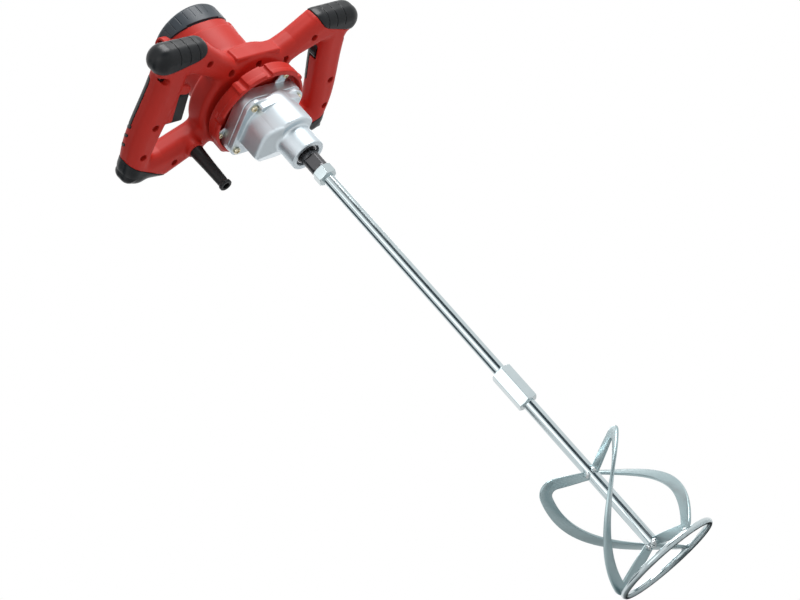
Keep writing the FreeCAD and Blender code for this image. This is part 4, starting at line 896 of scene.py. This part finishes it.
def turned(corners, step, columns, centre=(0, 0), shape=None):
    """A line of radius and height carried round an upright axis; shape changes the radius over the turn."""
    profile = resampled(corners, step)
    turn = np.linspace(0, 2 * math.pi, columns, endpoint=False)
    radius = np.repeat(profile[:, :1], columns, axis=1)
    height = np.repeat(profile[:, 1:], columns, axis=1)
    if shape:
        radius = shape(radius, turn[None, :])
    x = centre[0] + radius * np.cos(turn)
    y = centre[1] + radius * np.sin(turn)
    return tube(np.stack([x, y, height], axis=-1))


def joined(parts):
    """Several meshes as one."""
    points, faces, count = [], [], 0
    for part_points, part_faces in parts:
        points.append(part_points)
        faces += [[corner + count for corner in face] for face in part_faces]
        count += len(part_points)
    return np.concatenate(points), faces


def plated(name, node_name, points, faces, material=ZINC):
    """A plated steel piece of the stirrer, in place of a node."""
    new_piece(name, points, faces, material, "stirrer_spindle", (node_name,))


HEX_HALF = 11.0
HEX_REACH = 13.0
HEX_BEVEL = 1.1


def hexagon(radius, turn):
    """Radius of a turned profile cut back to six flats."""
    flat = HEX_HALF / np.cos(turn % (math.pi / 3) - math.pi / 6)
    return np.minimum(radius, flat)


def hex_block(low, high):
    """Hexagon bar with its corners chamfered at both ends."""
    rim = HEX_HALF - 0.2
    corners = [(5, low), (rim, low), (HEX_REACH, low + HEX_BEVEL), (HEX_REACH, high - HEX_BEVEL),
               (rim, high), (5, high)]
    return turned(corners, 1.2, 240, shape=hexagon)


ROD_RADIUS = 7.0
STUD_RADIUS = 5.2
ROD_COLUMNS = 96


def make_rods():
    """Hexagon coupling, lower rod with a chamfered foot, and upper rod with its stud and hexagon collar."""
    low, high = node_box("coupling_sleeve")[0][2], node_box("coupling_sleeve")[1][2]
    plated("coupling_sleeve_hexagon", "coupling_sleeve", *hex_block(low, high))
    foot_z = node_box("stirrer_lower_rod")[0][2]
    middle = (low + high) / 2
    lower = [(4, foot_z), (ROD_RADIUS - 0.8, foot_z), (ROD_RADIUS, foot_z + 0.8), (ROD_RADIUS, middle)]
    plated("stirrer_lower_rod_bar", "stirrer_lower_rod", *turned(lower, 4, ROD_COLUMNS))
    seat = node_box("output_spindle")[0][2]
    upper = [(ROD_RADIUS, middle), (ROD_RADIUS, seat - 1), (STUD_RADIUS, seat - 0.5),
             (STUD_RADIUS, seat + 20)]
    parts = [turned(upper, 4, ROD_COLUMNS), hex_block(seat - 13.5, seat - 0.1)]
    plated("stirrer_upper_rod_bar", "stirrer_upper_rod", *joined(parts))


RING_RADIUS = 56.5
RING_BAR = 3.5
RING_LEVEL = RING_BAR + 0.02
RING_SEAM_TURN = 40


def make_ring():
    """Foot ring: a round bar carried round a circle, with a low seam where its ends are joined."""
    rows, columns = 240, 32
    turn = np.linspace(0, 2 * math.pi, rows, endpoint=False)[:, None]
    around = np.linspace(0, 2 * math.pi, columns, endpoint=False)[None, :]
    away = (turn - math.radians(RING_SEAM_TURN) + math.pi) % (2 * math.pi) - math.pi
    bar_radius = RING_BAR * (1 + 0.12 * np.exp(-(away / 0.035) ** 2) * (np.sin(around) < -0.1))
    reach = RING_RADIUS + bar_radius * np.cos(around)
    level = RING_LEVEL - bar_radius * np.sin(around)
    points = np.stack([reach * np.cos(turn), reach * np.sin(turn), level], axis=-1)
    plated("stirrer_ring_bar", "stirrer_ring", points.reshape(-1, 3), grid_faces(rows, columns, True, True))


def make_boot():
    """Cord boot: a slow taper to a round end flange, hollow to the depth that shows."""
    low, high = node_box("cord_boot")
    middle = (low[:2] + high[:2]) / 2
    tip, root = low[2], high[2]
    bore, waist, body, flange, base = 4.2, 6.4, 7.3, 7.7, 8.8
    edge = flange - 0.7
    corners = [(bore - 1, tip + 16), (bore, tip + 15), (bore, tip + 0.6), (bore + 0.6, tip), (edge, tip),
               (flange, tip + 0.7), (flange, tip + 3.6), (edge, tip + 4.4), (waist, tip + 5.4),
               (body, (tip + root) / 2), (base, root - 3), (base, root), (bore, root)]
    points, faces = turned(corners, 1.5, 72, middle)
    new_piece("cord_boot_sleeve", points, faces, RUBBER, "housing", ("cord_boot",))


def make_nose_shade_ring_and_lip():
    """Ring in the nose's mouth, in place of the retaining ring, painted dark as the shade inside the mouth, and
    the pale lip that stands round the spindle.
    """
    face = NOSE_Z + 3.4
    ring = [(10.9, face + 0.8), (10.9, face), (15.2, face), (15.2, face + 0.8)]
    points, faces = turned(ring, 0.8, 96)
    # Painted shade: the ring is dark steel so that the mouth of the nose reads dark inside.
    new_piece("nose_ring_painted_shade", points, faces, DARK_STEEL_AND_PAINTED_SHADE, "housing", ("retaining_ring",))
    root, rise, crest = face + 0.1, face - 0.5, face - 0.8
    lip = [(12.4, root), (12.4, rise), (12.8, crest), (13.2, crest), (13.6, rise), (13.6, root)]
    points, faces = turned(lip, 0.3, 96)
    new_piece("nose_seal_lip", points, faces, BEARING, "housing", ())


make_rods()
make_ring()
make_boot()
make_nose_shade_ring_and_lip()


# Blades and welds
BLADE_TURNS = (-98.5, 21.5, 141.5)
BLADE_PITCH = 314.0
BLADE_RISE = 128.0
BLADE_FOOT = 7.4
BLADE_REACH = 55.7
BLADE_ROOT = 4.0
BLADE_HALF_WIDTH = 6.25
BLADE_HALF_THICK = 1.75
BLADE_EDGE = 0.9
LOW_BEND = 7.6
HIGH_BEND = 15.5
ARM_SLOPE = 0.33


def blade_path(top):
    """Radius, climb and heading along a blade: out along an arm, up the helix and back along an arm."""
    bend = np.linspace(0, math.pi / 2, 18)[1:]
    low_end, high_end = BLADE_REACH - LOW_BEND, BLADE_REACH - HIGH_BEND
    arm_out = np.linspace(BLADE_ROOT, low_end, 16)
    climb = np.linspace(LOW_BEND, top - HIGH_BEND, 80)[1:]
    arm_back = np.linspace(high_end, BLADE_ROOT, 16)[1:]
    radius = np.concatenate([arm_out, low_end + LOW_BEND * np.sin(bend), np.full(len(climb), BLADE_REACH),
                             high_end + HIGH_BEND * np.cos(bend), arm_back])
    reach = np.concatenate([np.zeros(len(arm_out)), LOW_BEND - LOW_BEND * np.cos(bend), climb,
                            top - HIGH_BEND + HIGH_BEND * np.sin(bend), np.full(len(arm_back), top)])
    heading = np.concatenate([np.zeros(len(arm_out)), bend, np.full(len(climb), math.pi / 2),
                              math.pi / 2 + bend, np.full(len(arm_back), math.pi)])
    return radius, reach, heading


def blade_section():
    """Outline of the flat bar: four corners rounded by quarter circles."""
    quarter = np.linspace(0, math.pi / 2, 4)
    flat, thin = BLADE_HALF_WIDTH - BLADE_EDGE, BLADE_HALF_THICK - BLADE_EDGE
    corners = ((flat, thin), (-flat, thin), (-flat, -thin), (flat, -thin))
    turns = [quarter + k * math.pi / 2 for k in range(4)]
    across = [corner[0] + BLADE_EDGE * np.cos(turn) for corner, turn in zip(corners, turns)]
    lift = [corner[1] + BLADE_EDGE * np.sin(turn) for corner, turn in zip(corners, turns)]
    return np.concatenate(across), np.concatenate(lift)


def blade_surface(start_turn):
    """A flat bar bent to a C and carried along its path on a helicoid, its width lying in the helicoid."""
    stretch = math.hypot(1, 2 * math.pi * BLADE_REACH / BLADE_PITCH)
    top = BLADE_RISE * stretch
    radius, reach, heading = blade_path(top)
    across, lift = blade_section()

    def helicoid(r, s):
        """Points at a radius and a climb, where the arms also slope towards the middle height."""
        height = s / stretch
        turn = math.radians(start_turn) + 2 * math.pi * height / BLADE_PITCH
        level = BLADE_FOOT + height + ARM_SLOPE * (2 * s / top - 1) * (r - BLADE_REACH)
        return np.stack([r * np.cos(turn), r * np.sin(turn), level], axis=-1)

    side = np.stack([-np.sin(heading), np.cos(heading)], axis=1)
    local = np.hypot(1, 2 * math.pi * radius / BLADE_PITCH)
    r = radius[:, None] + across * side[:, :1]
    s = reach[:, None] + across * side[:, 1:] * (stretch / local)[:, None]
    step = 0.05
    along_r = helicoid(r + step, s) - helicoid(r - step, s)
    along_s = helicoid(r, s + step) - helicoid(r, s - step)
    normal = np.cross(along_r, along_s)
    normal /= np.linalg.norm(normal, axis=-1, keepdims=True)
    return tube(helicoid(r, s) + normal * lift[None, :, None])


def weld(turn, reach, level, half, phase):
    """A lump of weld at a turn and reach from the axis: an egg over polar turn and height, rippled."""
    polar = np.linspace(0.06, math.pi - 0.06, 24)[:, None]
    around = np.linspace(0, 2 * math.pi, 36, endpoint=False)[None, :]
    ripple = 1 + 0.07 * np.sin(3 * around + phase) * np.sin(polar)
    ripple = ripple + 0.05 * np.sin(7 * polar + 2 * around + phase)
    out = reach + half[0] * ripple * np.sin(polar) * np.cos(around)
    side = half[1] * ripple * np.sin(polar) * np.sin(around)
    rise = -half[2] * ripple * np.cos(polar) * np.ones_like(around)
    angle = math.radians(turn)
    x = out * math.cos(angle) - side * math.sin(angle)
    y = out * math.sin(angle) + side * math.cos(angle)
    return tube(np.stack([x, y, level + rise], axis=-1))


ROD_WELD = (3.2, 6.8, 3.6)
RING_WELD = (3.0, 5.2, 1.8)


def make_blades():
    """Three blades, and the welds that join their arms to the rod and their bends to the ring."""
    top_turn = 360 * BLADE_RISE / BLADE_PITCH
    drop = ARM_SLOPE * (BLADE_REACH - ROD_RADIUS)
    low_z, high_z = BLADE_FOOT + drop, BLADE_FOOT + BLADE_RISE - drop
    lumps = []
    for number, turn in enumerate(BLADE_TURNS):
        name = f"blade_{number + 1}"
        plated(f"{name}_strip", name, *blade_surface(turn), STRIP)
        lumps.append(weld(turn, ROD_RADIUS, low_z, ROD_WELD, number))
        lumps.append(weld(turn + top_turn, ROD_RADIUS, high_z, ROD_WELD, number + 2))
        lumps.append(weld(turn, RING_RADIUS - 1, RING_BAR * 2 + 0.2, RING_WELD, number + 4))
    points, faces = joined(lumps)
    new_piece("stirrer_welds", points, faces, WELD, "stirrer_spindle", ())


make_blades()


# Camera, light and floor, in metres
CAMERA_TURNS = (-44.583, -20.14, -41.331)
CAMERA_PLACE = (-1.2224, -1.1979, -0.2276)
CAMERA_LENS = 75.52
CAMERA_SENSOR = 36.0


def make_camera():
    """A long lens below the drill, rolled so that the stirrer runs down to the right."""
    azimuth, elevation, roll = (math.radians(angle) for angle in CAMERA_TURNS)
    back = Vector((math.sin(azimuth) * math.cos(elevation), -math.cos(azimuth) * math.cos(elevation),
                   math.sin(elevation)))
    right = Vector((0, 0, 1)).cross(back).normalized()
    up = back.cross(right)
    rolled_right = right * math.cos(roll) + up * math.sin(roll)
    rolled_up = up * math.cos(roll) - right * math.sin(roll)
    data = bpy.data.cameras.new("camera")
    data.sensor_width = CAMERA_SENSOR
    data.lens = CAMERA_LENS
    camera = bpy.data.objects.new("camera", data)
    turn = Matrix((rolled_right, rolled_up, back)).transposed().to_4x4()
    camera.matrix_world = Matrix.Translation(CAMERA_PLACE) @ turn
    bpy.context.scene.collection.objects.link(camera)
    bpy.context.scene.camera = camera


TARGET = Vector((0, 0, 0.5))


def area_light(name, toward, distance, size, power):
    """A round lamp that looks at the drill's middle from a direction."""
    data = bpy.data.lights.new(name, "AREA")
    data.shape = "DISK"
    data.size = size
    data.energy = power
    lamp = bpy.data.objects.new(name, data)
    way = Vector(toward).normalized()
    lamp.location = TARGET + way * distance
    lamp.rotation_euler = way.to_track_quat("Z", "Y").to_euler()
    bpy.context.scene.collection.objects.link(lamp)


def make_world():
    """White to the camera and in reflections, a softer white as light."""
    world = bpy.data.worlds.new("studio")
    world.use_nodes = True
    tree = world.node_tree
    path = node(tree, "ShaderNodeLightPath").outputs
    seen = node(tree, "ShaderNodeMath", {0: path["Is Camera Ray"], 1: path["Is Glossy Ray"]},
                operation="ADD")
    through = node(tree, "ShaderNodeMath", {0: seen.outputs[0], 1: path["Is Transmission Ray"]},
                   operation="ADD", use_clamp=True)
    level = node(tree, "ShaderNodeMapRange", {"Value": through.outputs[0], "To Min": 0.24, "To Max": 1.0})
    feed(tree, tree.nodes["Background"].inputs, {"Color": (1, 1, 1, 1), "Strength": level.outputs["Result"]})
    bpy.context.scene.world = world


def stage_sheet(name, corners, colour):
    """A flat four-cornered sheet of the set with a plain material of its own."""
    mesh = bpy.data.meshes.new(name)
    mesh.from_pydata(corners, [], [(0, 1, 2, 3)])
    sheet = bpy.data.objects.new(name, mesh)
    bpy.context.scene.collection.objects.link(sheet)
    material = bpy.data.materials.new(name)
    material.use_nodes = True
    paint = material.node_tree.nodes["Principled BSDF"]
    paint.inputs["Base Color"].default_value = (*colour, 1)
    mesh.materials.append(material)
    return sheet, material.node_tree, paint


FLOOR_HALF = 3.0
FLOOR_FADE_START = 0.5
FLOOR_FADE_END = 2.4


def make_floor():
    """A pale floor under the ring, seen only from above, that fades out into the white round it."""
    half = FLOOR_HALF
    corners = [(-half, -half, 0), (half, -half, 0), (half, half, 0), (-half, half, 0)]
    tree, paint = stage_sheet("floor", corners, (0.82, 0.82, 0.82))[1:]
    paint.inputs["Roughness"].default_value = 0.9
    clear = node(tree, "ShaderNodeBsdfTransparent")
    side = node(tree, "ShaderNodeNewGeometry")
    place = node(tree, "ShaderNodeTexCoord")
    away = node(tree, "ShaderNodeVectorMath", {0: place.outputs["Object"]}, operation="LENGTH")
    fade = node(tree, "ShaderNodeMapRange",
                {"Value": away.outputs["Value"], "From Min": FLOOR_FADE_START, "From Max": FLOOR_FADE_END},
                interpolation_type="SMOOTHSTEP")
    gone = node(tree, "ShaderNodeMath", {0: side.outputs["Backfacing"], 1: fade.outputs["Result"]},
                operation="MAXIMUM")
    mix = node(tree, "ShaderNodeMixShader", {0: gone.outputs[0], 1: paint.outputs[0], 2: clear.outputs[0]})
    feed(tree, tree.nodes["Material Output"].inputs, {"Surface": mix.outputs[0]})


def dark_card(name, turn, half_width, distance, low, high):
    """A dark upright card beside the set that shows only in reflections, for dark bands on the metal."""
    angle = math.radians(turn)
    middle = np.array((math.cos(angle), math.sin(angle))) * distance
    along = np.array((-math.sin(angle), math.cos(angle))) * half_width
    left, right = middle - along, middle + along
    corners = [(*left, low), (*right, low), (*right, high), (*left, high)]
    card = stage_sheet(name, corners, (0.04, 0.07, 0.09))[0]
    card.visible_camera = False
    card.visible_diffuse = False
    card.visible_shadow = False
    card.visible_transmission = False


make_camera()
make_world()
make_floor()
dark_card("front_card", 262, 1.1, 2.6, 0.35, 1.75)
dark_card("left_card", 186, 0.16, 2.6, 0.35, 1.75)
dark_card("back_card", 138, 1.0, 2.4, 0.8, 2.3)
area_light("key", (0.2, -0.65, 0.65), 2.2, 1.4, 46)
area_light("fill", (-0.9, -0.35, 0.15), 2.4, 1.6, 6)
area_light("rim", (0.7, 0.6, 0.6), 2.4, 1.2, 14)
bpy.context.scene.view_settings.view_transform = "Standard"
